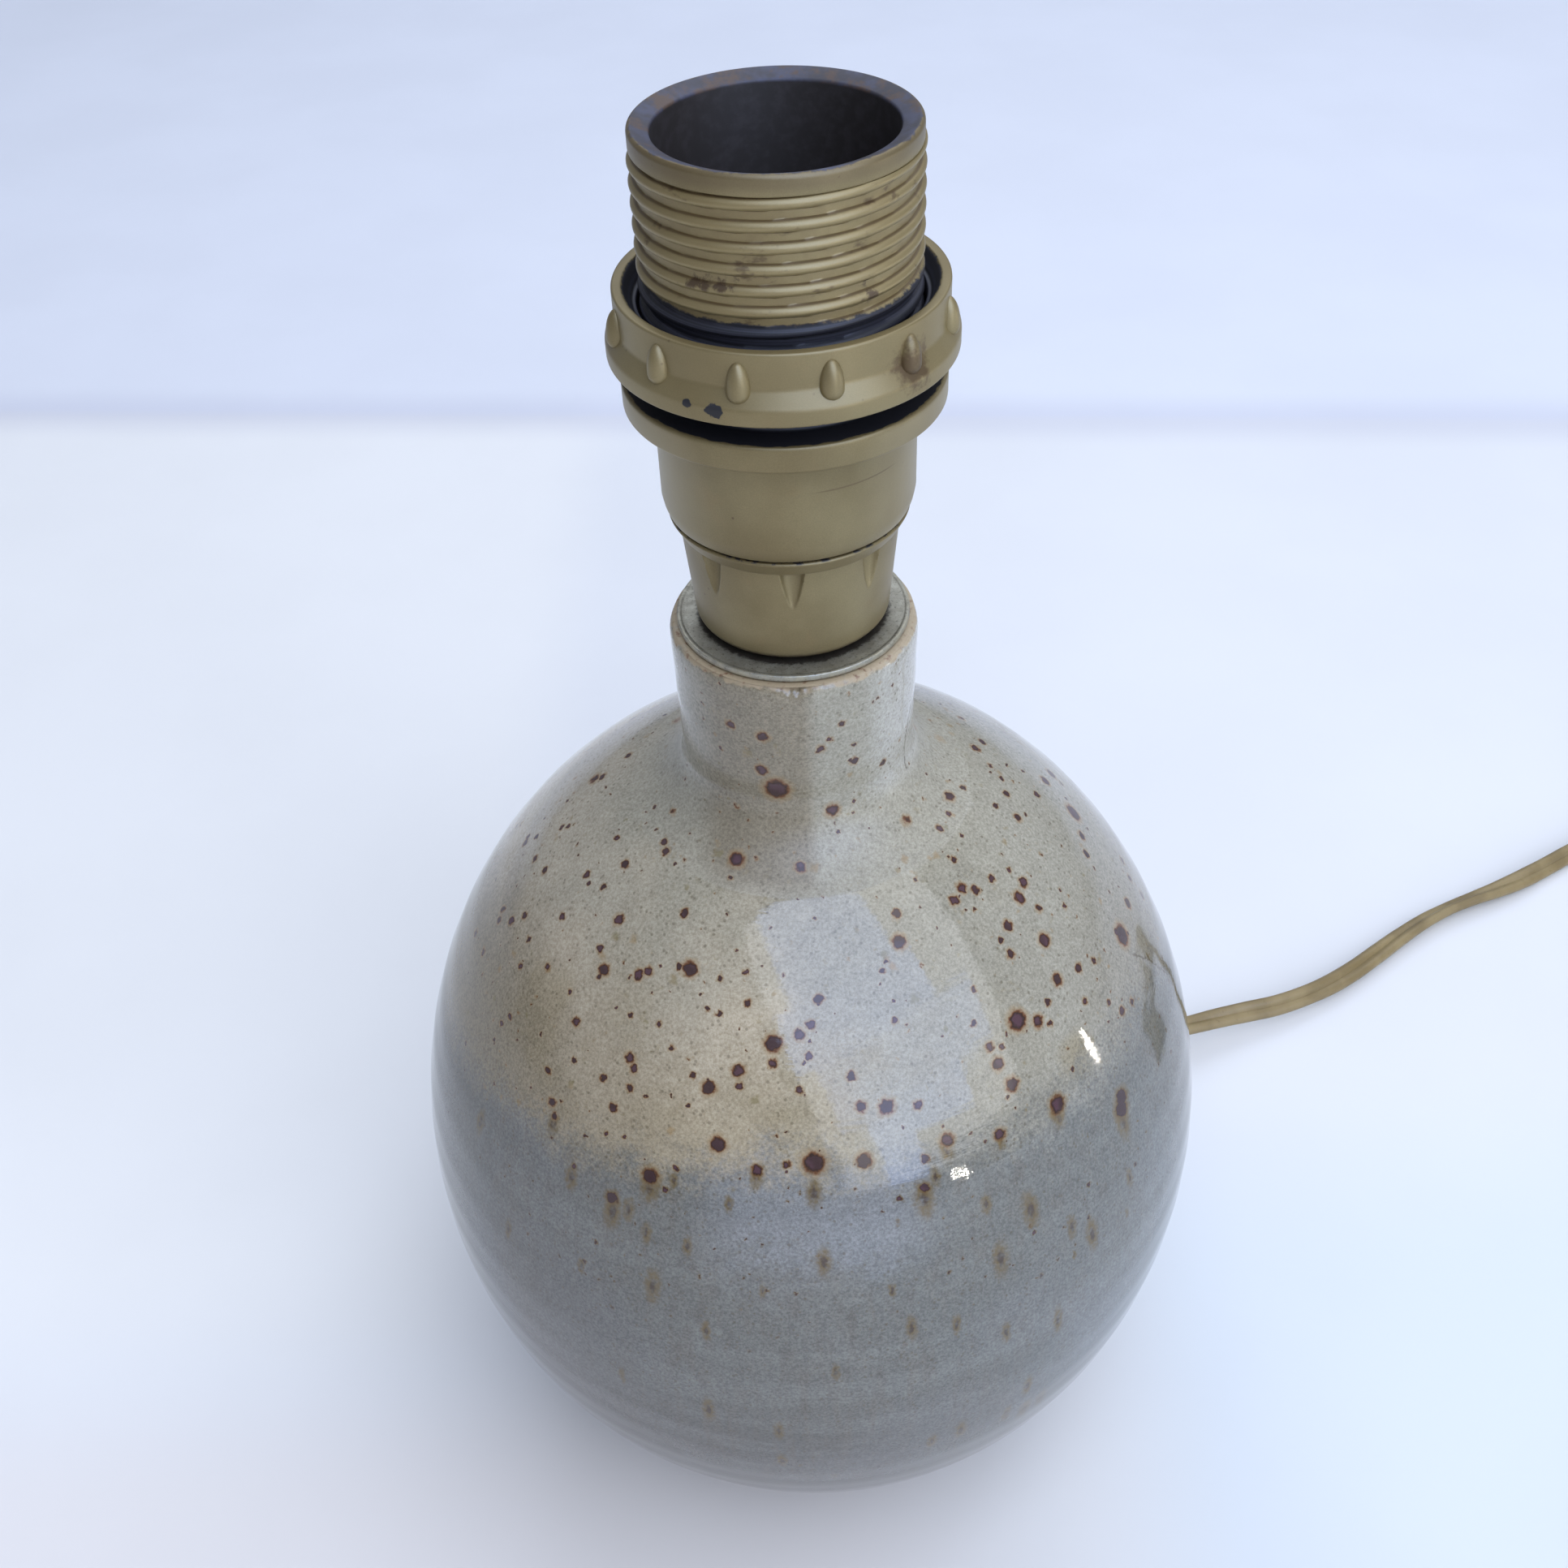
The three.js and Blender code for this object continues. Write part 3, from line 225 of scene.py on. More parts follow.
spigot_wall = 2 * mm
spigot_gap = 0.6 * mm
flute_count = 8
flute_length = 6.6 * mm
flute_half_width = 1.9 * mm
flute_depth = 1.5 * mm
flute_least_width = 0.01 * mm
flute_width_power = 0.55
flute_depth_power = 0.7
tube_hole_radius = 5.3 * mm
seam_drop = 5.8 * mm
disc_step = 0.15 * mm
disc_edge = 0.5 * mm
disc_slope = 0.3 * mm
disc_round = 0.2 * mm

# Shade ring
ring_band_radius = 25 * mm
ring_band_height = 2.4 * mm
ring_skirt_height = 2.3 * mm
ring_collar_radius = 23.45 * mm
ring_lip_width = 1.5 * mm
ring_dish_radius = 20.7 * mm
ring_dish_depth = 2.4 * mm
ring_bore_radius = 20.1 * mm
ring_round = 0.4 * mm
rib_count = 12
rib_turn = math.radians(15)
rib_reach = 1.7 * mm
rib_width = 3.4 * mm
rib_height = 6.2 * mm
rib_sink = 0.15 * mm
rib_swell_share = 0.3
rib_swell_power = 0.7
rib_taper_power = 2.4
rib_end_power = 0.6
rib_rows = 19
rib_columns = 28

# Screw shell
screw_wall = 0.4 * mm
screw_crest = 13.28 * mm
screw_root = 12.3 * mm
screw_pitch = 3.63 * mm
screw_lip = 1.5 * mm
screw_columns = 120
screw_flange_bore = 10.9 * mm
screw_row_height = 0.3 * mm

# Bush where the flex leaves the body
bush_depth = 12.3 * mm
bush_shoulder = 1.7 * mm
bush_clearance = 0.3 * mm
bush_nose = 0.3 * mm
bush_tip = 3.85 * mm
bush_end_gap = 0.35 * mm
bush_edge = 0.2 * mm
bush_groove = 0.22 * mm
bush_rings = 5
bush_ring_shares = (0.05, 0.92)
bush_rows = 36
bush_columns = 64

# In-line switch
switch_heading = math.radians(17.5)
switch_nose = 7 * mm
switch_taper = 14 * mm
switch_corner = 3.5 * mm
switch_edge = 1.1 * mm
edge_segments = 4
edge_least_angle = math.radians(40)
switch_length = 58 * mm
switch_width = 24 * mm
window_length = 21.6 * mm
window_width = 12 * mm
window_corner = 1 * mm
window_depth = 4 * mm
window_overrun = 5 * mm
rocker_pivot_height = 12.6 * mm
rocker_tilt = math.radians(9)
rocker_length = 19 * mm
rocker_width = 11 * mm
rocker_bottom_length = 11 * mm
rocker_rise = 4.6 * mm
rocker_dip = 1.5 * mm
rocker_rows = 15
rocker_drop = 3 * mm
rocker_edge = 0.6 * mm

# Plug
plug_nose_length = 11 * mm
plug_body_length = 36 * mm
plug_rear_width = 12 * mm
plug_corner = 5 * mm
plug_edge = 3.2 * mm
# Corners of the plug's side behind its face, as shares of its length and of its width
plug_side_shares = [(0.33, 0.84), (0.6, 1)]
nose_radius = 3.3 * mm
nose_flare = 1.5 * mm
nose_groove = 0.35 * mm
nose_sink = 3 * mm
nose_ribs = 4
nose_rows_per_rib = 8
nose_columns = 48
grip_shares = (0.42, 0.5, 0.58)
grip_length = 1.1 * mm
grip_width_share = 0.5
grip_corner = 0.5 * mm
grip_edge = 0.3 * mm
grip_sink = 1 * mm
grip_top_gap = 0.02 * mm
pin_radius = 2 * mm
pin_sleeve_length = 10 * mm
pin_step = 0.12 * mm
pin_step_length = 0.15 * mm
pin_round = 0.9 * mm
pin_round_rows = 6
pin_columns = 40

# Routes of the flex, in millimetres, as in the part's source
lead_route = [
    (60.05, 42.05, 14), (66.2, 46.3, 13.9), (72.5, 50.6, 13.2), (80.5, 55.5, 11.7), (89.5, 59.9, 9.9),
    (98.8, 63.3, 8.2), (105.6, 65.7, 7.4), (114.1, 68.4, 6.4), (122.6, 71, 5.5), (130.7, 74.4, 4.8),
    (139.2, 78.9, 4.1), (147.1, 84.2, 3.5), (155.4, 90.5, 3.1), (163.8, 96.8, 2.9), (172.1, 102.3, 2.9),
    (180.2, 106.6, 2.9), (187.9, 109.9, 2.9), (195.6, 113, 2.9), (203.7, 116.8, 2.9), (212.4, 121.6, 2.9),
    (219.6, 125.8, 2.9), (228.5, 130.4, 3), (237.5, 134.4, 3.6), (246, 137.7, 4.9), (254, 140.5, 6.5),
    (258, 141.8, 6.9), (262, 143.1, 7),
]
run_route = [
    (317.9, 160.7, 7), (321.8, 161.9, 7), (326.5, 163.3, 6.8), (332.5, 164, 6.4), (339.4, 162.7, 5.8),
    (346, 158.9, 5.2), (351, 153, 4.6), (353.4, 145.8, 4.2), (353.9, 138, 3.9), (353.2, 129, 3.8),
    (352.1, 119, 3.8), (351.1, 110, 3.8), (350.8, 104.6, 3.8), (350.8, 100.7, 3.8),
]
tail_route = [
    (306.3, 56.2, 9.7), (302.5, 56.2, 9.7), (298, 56.2, 9.5), (293.5, 56.2, 8.7), (289.5, 56.2, 7.6),
    (286.5, 56.2, 7), (283.6, 56.2, 6.85),
]
# Tilt of the flex's wide side from level, in degrees, at shares of the lead's length
lead_tilts = [
    (0, 0), (0.2, 0), (0.285, 40), (0.36, 48), (0.44, 12), (0.54, -22), (0.6, -36), (0.64, -30), (0.69, 0),
    (0.74, 42), (0.8, 50), (0.9, 25), (1, 0),
]

# Iron spots that stand out in the photograph: x, y and radius in its pixels
spot_pixels = [
    (957, 972, 16), (940, 906, 8), (939, 948, 8), (1025, 997, 9), (1113, 1012, 8), (909, 1059, 10),
    (1052, 937, 6), (1021, 910, 5), (1037, 890, 5), (901, 891, 6), (818, 1038, 5), (820, 1049, 6),
    (744, 1195, 8), (850, 1194, 10), (787, 1201, 7), (799, 1197, 6), (762, 1133, 7), (710, 1259, 6),
    (776, 1304, 7), (781, 1317, 6), (873, 1340, 9), (910, 1320, 8), (911, 1338, 5), (953, 1286, 11),
    (951, 1310, 6), (985, 1275, 7), (999, 1263, 6), (1008, 1231, 6), (997, 1301, 5), (1108, 1160, 9),
    (1105, 1126, 6), (1254, 1257, 13), (1279, 1258, 8), (1287, 1158, 9), (1256, 1106, 8), (1185, 1094, 7),
    (1176, 1109, 7), (1242, 1141, 7), (1323, 1001, 12), (1383, 1152, 14), (1303, 1207, 8), (1230, 1311, 8),
    (1247, 1336, 9), (1303, 1361, 12), (1382, 1366, 13), (1382, 1352, 12), (1003, 1433, 14),
    (1065, 1430, 10), (885, 1410, 10), (933, 1442, 8), (801, 1449, 11), (754, 1476, 9), (680, 1358, 6),
    (683, 1376, 5), (1049, 1326, 6), (1092, 1364, 10), (1061, 1364, 7), (1131, 1362, 6), (1167, 1405, 9),
    (1232, 1398, 8), (1140, 1428, 6), (1139, 1464, 7), (1288, 962, 7), (986, 1069, 7), (843, 1125, 6),
    (1011, 922, 6), (1010, 923, 5), (1088, 939, 5), (909, 992, 4), (831, 1002, 5), (874, 988, 3),
    (1007, 1027, 4), (900, 1082, 3), (760, 1033, 4), (774, 931, 5), (839, 923, 4), (742, 957, 5),
    (692, 1019, 4), (700, 1018, 4), (661, 1031, 4), (647, 1038, 5), (770, 1065, 6), (723, 1077, 5),
    (671, 1072, 5), (659, 1058, 5), (743, 1093, 4), (693, 1129, 5), (646, 1128, 5), (630, 1134, 6),
    (620, 1120, 5), (615, 1134, 5), (586, 1150, 5), (595, 1173, 5), (651, 1157, 4), (739, 1169, 5),
    (738, 1203, 4), (837, 1191, 4), (674, 1191, 5), (702, 1222, 4), (887, 1206, 4), (919, 1198, 4),
    (628, 1253, 4), (618, 1261, 4), (777, 1251, 4), (812, 1262, 4), (921, 1236, 5), (886, 1250, 4),
    (828, 1291, 4), (1170, 981, 7), (1187, 970, 4), (1169, 1002, 4), (1158, 1021, 5), (1202, 922, 6),
    (1210, 914, 5), (1220, 943, 4), (1234, 959, 4), (1240, 978, 5), (1278, 979, 5), (1333, 1029, 6),
    (1339, 1052, 6), (1383, 1060, 5), (1392, 1082, 5), (1407, 1102, 6), (1390, 1113, 7), (1227, 993, 4),
    (1254, 1007, 6), (1176, 1059, 4), (1244, 1072, 4), (1222, 1082, 5), (1202, 1096, 6), (1261, 1087, 7),
    (1280, 1119, 5), (1312, 1116, 4), (1233, 1158, 4), (1245, 1175, 6), (1087, 1196, 4), (1200, 1219, 4),
    (1376, 1149, 5), (1329, 1192, 6), (1348, 1183, 5), (1291, 1235, 5), (1337, 1233, 5), (1366, 1235, 4),
    (1383, 1246, 6), (1395, 1234, 5), (1294, 1261, 4), (1200, 1261, 4), (1102, 1258, 4), (1010, 1230, 5),
    (1220, 1290, 6), (1235, 1290, 4), (675, 1319, 5), (707, 1306, 4), (743, 1328, 5), (776, 1341, 5),
    (756, 1365, 6), (985, 1344, 5), (854, 1325, 4), (969, 1435, 5), (832, 1439, 4), (820, 1466, 4),
    (707, 1438, 4), (747, 1397, 3), (769, 1401, 3), (641, 1190, 4), (1128, 1083, 3),
]
# Stains without a dark heart, runs below the spots, and warm patches of the glaze, alike
stain_pixels = [
    (921, 927, 7), (758, 1154, 6), (781, 1157, 6), (1355, 1181, 6), (930, 1356, 7), (1127, 1229, 7),
    (1238, 1037, 5), (886, 1040, 6), (882, 1052, 5), (1003, 1069, 7), (830, 1207, 7), (1100, 1190, 6),
    (1153, 1053, 5), (1116, 1059, 6), (1090, 1178, 6),
]
run_pixels = [
    (801, 1460, 11), (754, 1492, 10), (1270, 1490, 10), (1233, 1551, 9), (804, 1584, 9), (1015, 1555, 8),
    (704, 1450, 8), (1003, 1470, 9), (1139, 1478, 11), (1383, 1380, 11), (1303, 1372, 9), (682, 1384, 8),
    (774, 1490, 7), (1167, 1416, 8), (932, 1450, 7), (1346, 1520, 8), (873, 1737, 6), (960, 1764, 5),
    (964, 1800, 5), (1123, 1637, 6), (1179, 1632, 5), (1266, 1708, 6), (1304, 1626, 6), (1240, 1642, 5),
    (626, 1514, 5), (592, 1382, 7), (1215, 1484, 6), (898, 1484, 5), (847, 1535, 5), (1321, 1512, 6),
    (796, 1519, 6), (1100, 1590, 4), (870, 1640, 5), (1030, 1690, 4), (940, 1590, 4), (1153, 1450, 6),
    (1392, 1450, 5), (716, 1560, 4), (1184, 1762, 6), (830, 1455, 5), (1262, 1736, 7), (1282, 1722, 6),
    (1240, 1742, 5), (1148, 1776, 5),
]
warm_pixels = [(668, 1240, 52), (1330, 1300, 30)]
# Hairline cracks, as lines from point to point
crack_lines = [
    [(1396, 1176), (1416, 1182), (1427, 1191), (1440, 1201), (1447, 1223), (1454, 1245)],
    [(560, 1150), (546, 1262)],
    [(1121, 868), (1115, 905), (1114, 946)],
]
# Chips of paint, the worn patch on the ring and dirt on the thread: x and y in pixels, and radius in
# millimetres
chip_pixels = [(845, 497, 0.75), (877, 506, 1.05), (884, 508, 0.85)]
worn_pixels = [(1120, 450, 3.8)]
smear_pixels = [
    (852, 348, 1.1), (868, 350, 1.2), (885, 351, 1.2), (902, 350, 1), (1076, 366, 1.3), (1068, 352, 1),
]


def camera_axes():
    ahead = Vector((math.sin(camera_yaw), math.cos(camera_yaw), 0))
    level = Vector((math.cos(camera_yaw), -math.sin(camera_yaw), 0))
    vertical = Vector((0, 0, 1))
    forward = ahead * math.cos(camera_pitch) - vertical * math.sin(camera_pitch)
    over = ahead * math.sin(camera_pitch) + vertical * math.cos(camera_pitch)
    right = level * math.cos(camera_roll) + over * math.sin(camera_roll)
    up = over * math.cos(camera_roll) - level * math.sin(camera_roll)
    return right, up, forward


camera_place = Vector((0, -camera_back, camera_height))


def pixel_ray(x, y):
    right, up, forward = camera_axes()
    middle = picture_size / 2
    direction = forward * focal_pixels + right * (x - middle) - up * (y - middle)
    return direction.normalized()


def first_root(a, b, c):
    inside = b * b - 4 * a * c
    return (-b - math.sqrt(inside)) / (2 * a) if inside >= 0 else None


def on_cylinder(x, y, radius):
    """The point where a pixel's ray first meets an upright cylinder round the lamp's axis."""
    ray, flat = pixel_ray(x, y), camera_place.xy
    t = first_root(ray.xy.dot(ray.xy), 2 * flat.dot(ray.xy), flat.dot(flat) - radius * radius)
    return None if t is None else camera_place + ray * t


def on_ground(x, y):
    ray = pixel_ray(x, y)
    return camera_place - ray * (camera_place.z / ray.z)


def make_camera():
    right, up, forward = camera_axes()
    data = bpy.data.cameras.new("camera")
    data.sensor_fit = "HORIZONTAL"
    data.sensor_width = sensor_width
    data.lens = focal_pixels / picture_size * sensor_width
    camera = bpy.data.objects.new("camera", data)
    turn = Matrix((right, up, -forward)).transposed().to_4x4()
    camera.matrix_world = Matrix.Translation(camera_place) @ turn
    bpy.context.scene.collection.objects.link(camera)
    bpy.context.scene.camera = camera


make_camera()
bpy.context.scene.view_settings.view_transform = "Standard"


# Mesh helpers
def make_object(name, vertices, faces, material, sharp_degrees=32):
    """A closed mesh with its corners merged, its faces turned outwards and its hard edges marked."""
    mesh = bpy.data.meshes.new(name)
    mesh.from_pydata([tuple(v) for v in vertices], [], faces)
    work = bmesh.new()
    work.from_mesh(mesh)
    bmesh.ops.remove_doubles(work, verts=work.verts, dist=merge_distance)
    bmesh.ops.dissolve_degenerate(work, edges=work.edges, dist=merge_distance)
    bmesh.ops.recalc_face_normals(work, faces=work.faces)
    work.to_mesh(mesh)
    work.free()
    smooth(mesh, sharp_degrees)
    mesh.materials.append(material)
    made = bpy.data.objects.new(name, mesh)
    bpy.context.scene.collection.objects.link(made)
    return made


def smooth(mesh, sharp_degrees):
    mesh.shade_smooth()
    mesh.set_sharp_from_angle(angle=math.radians(sharp_degrees))


def dress(piece, slot, body, *nodes):
    """Puts a piece in the place of the part's nodes."""
    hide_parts(*nodes)
    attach(piece, body)


def grid_faces(columns, rows, round_columns, round_rows):
    faces = []
    for i in range(columns if round_columns else columns - 1):
        here, there = i * rows, (i + 1) % columns * rows
        for j in range(rows if round_rows else rows - 1):
            up = (j + 1) % rows
            faces.append((here + j, there + j, there + up, here + up))
    return faces


def turned(name, profile, columns, material, closed, sharp_degrees):
    """A turned piece. Its outline is rows of (radius, height), or a function that gives them."""
    vertices = []
    for i in range(columns):
        angle = i / columns * full_turn
        outline = np.asarray(profile(angle) if callable(profile) else profile, float)
        radius, height = outline[:, 0], outline[:, 1]
        vertices.extend(zip(radius * math.cos(angle), radius * math.sin(angle), height))
    faces = grid_faces(columns, len(outline), True, closed)
    return make_object(name, vertices, faces, material, sharp_degrees)


def arc(middle, reach, start, end, count):
    """Points of an ellipse from one angle to another."""
    return [
        (middle[0] + reach[0] * math.cos(a), middle[1] + reach[1] * math.sin(a))
        for a in np.linspace(start, end, count)
    ]


def bend(start, corner, end, count):
    """Points of a bend from start to end, drawn towards corner."""
    return [
        tuple(start * (1 - t) ** 2 + corner * 2 * t * (1 - t) + end * t * t)
        for t in np.linspace(0, 1, count)
    ]


def soften(outline, radius, steps=4, closed=True):
    """The outline with each clear corner rounded."""
    points = [Vector(p) for p in outline]
    soft = []
    for i, point in enumerate(points):
        before = points[i - 1] - point
        after = points[(i + 1) % len(points)] - point
        is_end = not closed and i in (0, len(points) - 1)
        shortest = min(before.length, after.length)
        if is_end or shortest < merge_distance or math.pi - before.angle(after) < clear_turn:
            soft.append(tuple(point))
            continue
        reach = min(radius, corner_share * shortest)
        start, end = (point + side.normalized() * reach for side in (before, after))
        soft += bend(start, point, end, steps + 1)
    return soft


def divide(outline, spacing):
    """The outline with points added, so that none of its sides is longer than spacing."""
    points = []
    for a, b in zip(outline, outline[1:]):
        a, b = Vector(a), Vector(b)
        parts = max(1, math.ceil((b - a).length / spacing))
        points.extend(tuple(a.lerp(b, k / parts)) for k in range(parts))
    return points + [tuple(outline[-1])]


def smoothstep(value, low, high):
    t = np.clip((value - low) / (high - low), 0, 1)
    return t * t * (3 - 2 * t)


def srgb(*colour):
    """A screen colour, 0 to 255, as the linear colour that a light or a shader takes."""
    shares = [value / 255 for value in colour]
    return tuple(s / 12.92 if s <= 0.04045 else ((s + 0.055) / 1.055) ** 2.4 for s in shares)


def shader_colour(value):
    """A screen colour, or a number as a grey share, as a shader's colour with its alpha."""
    return (*srgb(*value), 1) if isinstance(value, tuple) else (value, value, value, 1)


# Materials. Their sizes and places are in millimetres, and their colours are screen colours
class Shader:
    """A material's nodes. place is the position on the piece at rest."""

    def __init__(self, name):
        self.material = bpy.data.materials.new(name)
        self.material.use_nodes = True
        self.tree = self.material.node_tree
        self.surface = self.tree.nodes["Principled BSDF"]
        place = self.node("TexCoord").outputs["Object"]
        self.place = self.vector("MULTIPLY", place, (1 / mm, 1 / mm, 1 / mm))
        self.x, self.y, self.z = self.node("SeparateXYZ", self.place).outputs
        self.radius = self.vector("LENGTH", self.vector("MULTIPLY", self.place, (1, 1, 0)))

    def feed(self, socket, value):
        if isinstance(value, bpy.types.NodeSocket):
            self.tree.links.new(value, socket)
        elif value is not None:
            socket.default_value = shader_colour(value) if socket.type == "RGBA" else value

    def node(self, kind, *inputs, **settings):
        made = self.tree.nodes.new("ShaderNode" + kind)
        for name, value in settings.items():
            setattr(made, name, value)
        for socket, value in zip(made.inputs, inputs):
            self.feed(socket, value)
        return made

    def vector(self, operation, *inputs):
        outputs = self.node("VectorMath", *inputs, operation=operation).outputs
        return outputs["Value" if operation in ("LENGTH", "DISTANCE", "DOT_PRODUCT") else "Vector"]

    def math(self, operation, *inputs):
        return self.node("Math", *inputs, operation=operation).outputs[0]

    def chain(self, operation, first, *others):
        for other in others:
            first = self.math(operation, first, other)
        return first

    def both(self, *shares):
        return self.chain("MULTIPLY", *shares)

    def either(self, *shares):
        return self.chain("MAXIMUM", *shares)

    def noise(self, scale, detail=2.0, roughness=0.5, stretch=(1, 1, 1), place=None):
        at = self.vector("MULTIPLY", self.place if place is None else place, stretch)
        return self.node("TexNoise", at, None, scale, detail, roughness).outputs[0]

    def cells(self, spacing, place=None):
        """The nearest cell: distance in spacings, and a random colour."""
        at = self.place if place is None else place
        outputs = self.node("TexVoronoi", at, None, 1 / spacing).outputs
        return outputs["Distance"], outputs["Color"]

    def between(self, value, low, high, start=0.0, end=1.0, smooth=True):
        kind = "SMOOTHSTEP" if smooth else "LINEAR"
        return self.node("MapRange", value, low, high, start, end, interpolation_type=kind).outputs[0]

    def cloud(self, field, *levels):
        """A noise, spread from two of its levels to 0 and 1, or to two values that follow them."""
        return self.between(self.noise(*field), *levels)

    def ragged(self, value, reach, *field, smooth=True):
        """The value with a noise added that reaches that far either way."""
        return self.math("ADD", value, self.between(self.noise(*field), 0, 1, -reach, reach, smooth))

    def mix(self, share, first, second, blend="MIX"):
        unused = [None] * 5
        return self.node(
            "Mix", share, *unused, first, second, data_type="RGBA", blend_type=blend
        ).outputs[2]

    def cover(self, share, *zones, **fields):
        """The share, kept to zones.

        A zone is a field and two of its levels, between which it fades in, or a field alone.
        A field is named, or is a noise's scale, detail, roughness and stretch.
        """
        fields |= {"x": self.x, "y": self.y, "z": self.z, "radius": self.radius}
        for zone in zones:
            field, *levels = (zone,) if isinstance(zone, str) else zone
            value = fields[field] if isinstance(field, str) else self.noise(*field)
            share = self.both(share, self.between(value, *levels) if levels else value)
        return share

    def tinted(self, colour, tints, **fields):
        """The colour with tints laid over it: each a colour, its share, and its zones."""
        for tint, share, *zones in tints:
            colour = self.mix(self.cover(share, *zones, **fields), colour, tint)
        return colour

    def ramp(self, value, stops):
        node = self.node("ValToRGB", value)
        elements = node.color_ramp.elements
        while len(elements) < len(stops):
            elements.new(0.5)
        for element, (at, colour) in zip(elements, stops):
            element.position = at
            element.color = shader_colour(colour)
        return node.outputs[0]

    def grained(self, colour, share, grain, stops, blend):
        return self.mix(share, colour, self.ramp(grain, stops), blend)

    def bump(self, height, depth, strength=1.0, after=None):
        node = self.node("Bump", strength, depth)
        self.feed(node.inputs["Height"], height)
        self.feed(node.inputs["Normal"], after)
        return node.outputs[0]

    def bumps(self, rows, after=None):
        """Bumps laid over one another: each a noise, its depth in millimetres, and its strength."""
        for field, depth, strength in rows:
            after = self.bump(self.noise(*field), depth * mm, strength, after)
        return after

    def finish(self, colour, roughness, metallic=0.0, normal=None, **settings):
        inputs = {"Base Color": colour, "Roughness": roughness, "Metallic": metallic, "Normal": normal}
        for name, value in (inputs | settings).items():
            self.feed(self.surface.inputs[name], value)
        return self.material


# Shape of the stoneware body
body_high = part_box("ceramic_body")[1]
body_radius = body_high.x
mouth_height = body_high.z
side_centre = foot_bevel + body_half_height * math.sqrt(1 - (foot_radius / body_radius) ** 2)


def height_on_side(radius):
    return side_centre + body_half_height * math.sqrt(1 - (radius / body_radius) ** 2)


def on_body(x, y):
    """The point of the body or its neck that a pixel of the photograph shows."""
    waist = on_cylinder(x, y, neck_waist_radius)
    if waist is not None and waist.z > height_on_side(neck_waist_radius) + neck_fillet_rise / 2:
        return waist
    scale = Vector((1 / body_radius, 1 / body_radius, 1 / body_half_height))
    ray, start = pixel_ray(x, y), camera_place - Vector((0, 0, side_centre))
    so, sd = start * scale, ray * scale
    t = first_root(sd.dot(sd), 2 * so.dot(sd), so.dot(so) - 1)
    return None if t is None else camera_place + ray * t


# Glaze of the body
celadon = (152, 149, 136)
beige = (184, 174, 156)
grey_green = (155, 153, 143)
olive = (146, 132, 98)
smoky = (124, 119, 108)
blue_grey = (112, 114, 112)
pale_blue = (117, 119, 121)
deep_grey = (84, 84, 80)
warm_grey = (110, 103, 94)
spot_heart = (78, 53, 64)
spot_heart_dark = (58, 38, 42)
spot_rim = (46, 28, 24)
spot_rust = (110, 68, 38)
spot_halo = (146, 120, 80)
stain_green = (112, 104, 66)
run_ochre = (104, 88, 54)
run_heart = (66, 50, 38)
crack_grey = (84, 76, 66)
clay = (168, 152, 126)
clay_dark = (116, 78, 50)
# Where the two glazes meet: the line's height, how it rises to the front and to the right, its
# blend, and its wavers, as reach and noise
glaze_line_height = 108.5
glaze_line_swing = 15.5
glaze_line_rise = 5.0
glaze_line_rise_shares = (0.45, 0.9)
glaze_line_blend = 6
glaze_line_wavers = [(6, 0.035, 2, 0.5), (5, 0.22, 3, 0.6), (7, 1.3, 3, 0.7)]
# The upper glaze is warm at the front left, greyer to the right and round the sides. Some rows below are
# painted shade and one is a painted highlight, each marked
side_waver = (18, 0.06, 3)
height_waver = (14, 0.05, 2)
warm_waver = (0.5, 0.15, 3)
upper_tints = [
    (grey_green, 1, ("side", -12, 12)),
    (celadon, 1, ("height", 128, 162)),
    (olive, 0.55, ((0.06, 4, 0.6), 0.45, 0.72), ("above", 34, 2), ("x", 44, 24)),
    (olive, 0.45, ("warm", 1.3, 0.4)),
    (smoky, 0.2, ((0.11, 3), 0.5, 0.8)),
    (smoky, 0.8, ("x", 34, 68), ("above", 48, 4)),
    # Painted shade: darker on the left side, turned away from the window light
    ((96, 88, 66), 0.9, ("x", -32, -62), ("above", 36, 12)),
    # Painted shade: a dark strip on the neck's fillet at the front, in place of a dark reflection there
    ((106, 92, 68), 0.5, ("z", 153, 155.4), ("x", 3.4, 0.4), ("x", -18.5, -12), ("y", 0, -6)),
    # Painted shade: darker at the front left, above the glaze line
    ((134, 124, 104), 0.6, ("above", 34, 8), ("x", -14, -30)),
    # Painted highlight: lighter on the right of the neck
    ((176, 175, 168), 0.8, ("z", 160, 165), ("x", 9.5, 15)),
    ((134, 133, 125), 0.3, ("z", 154, 150), ("z", 140, 143), ("x", -6, 0), ("x", 32, 24)),
    ((140, 138, 128), 0.45, ("z", 147, 143), ("z", 122, 126), ("x", 10, 18), ("x", 42, 34)),
    ((144, 133, 108), 0.5, ("above", 20, 7), ("x", 12, 4), ("x", -40, -20)),
]
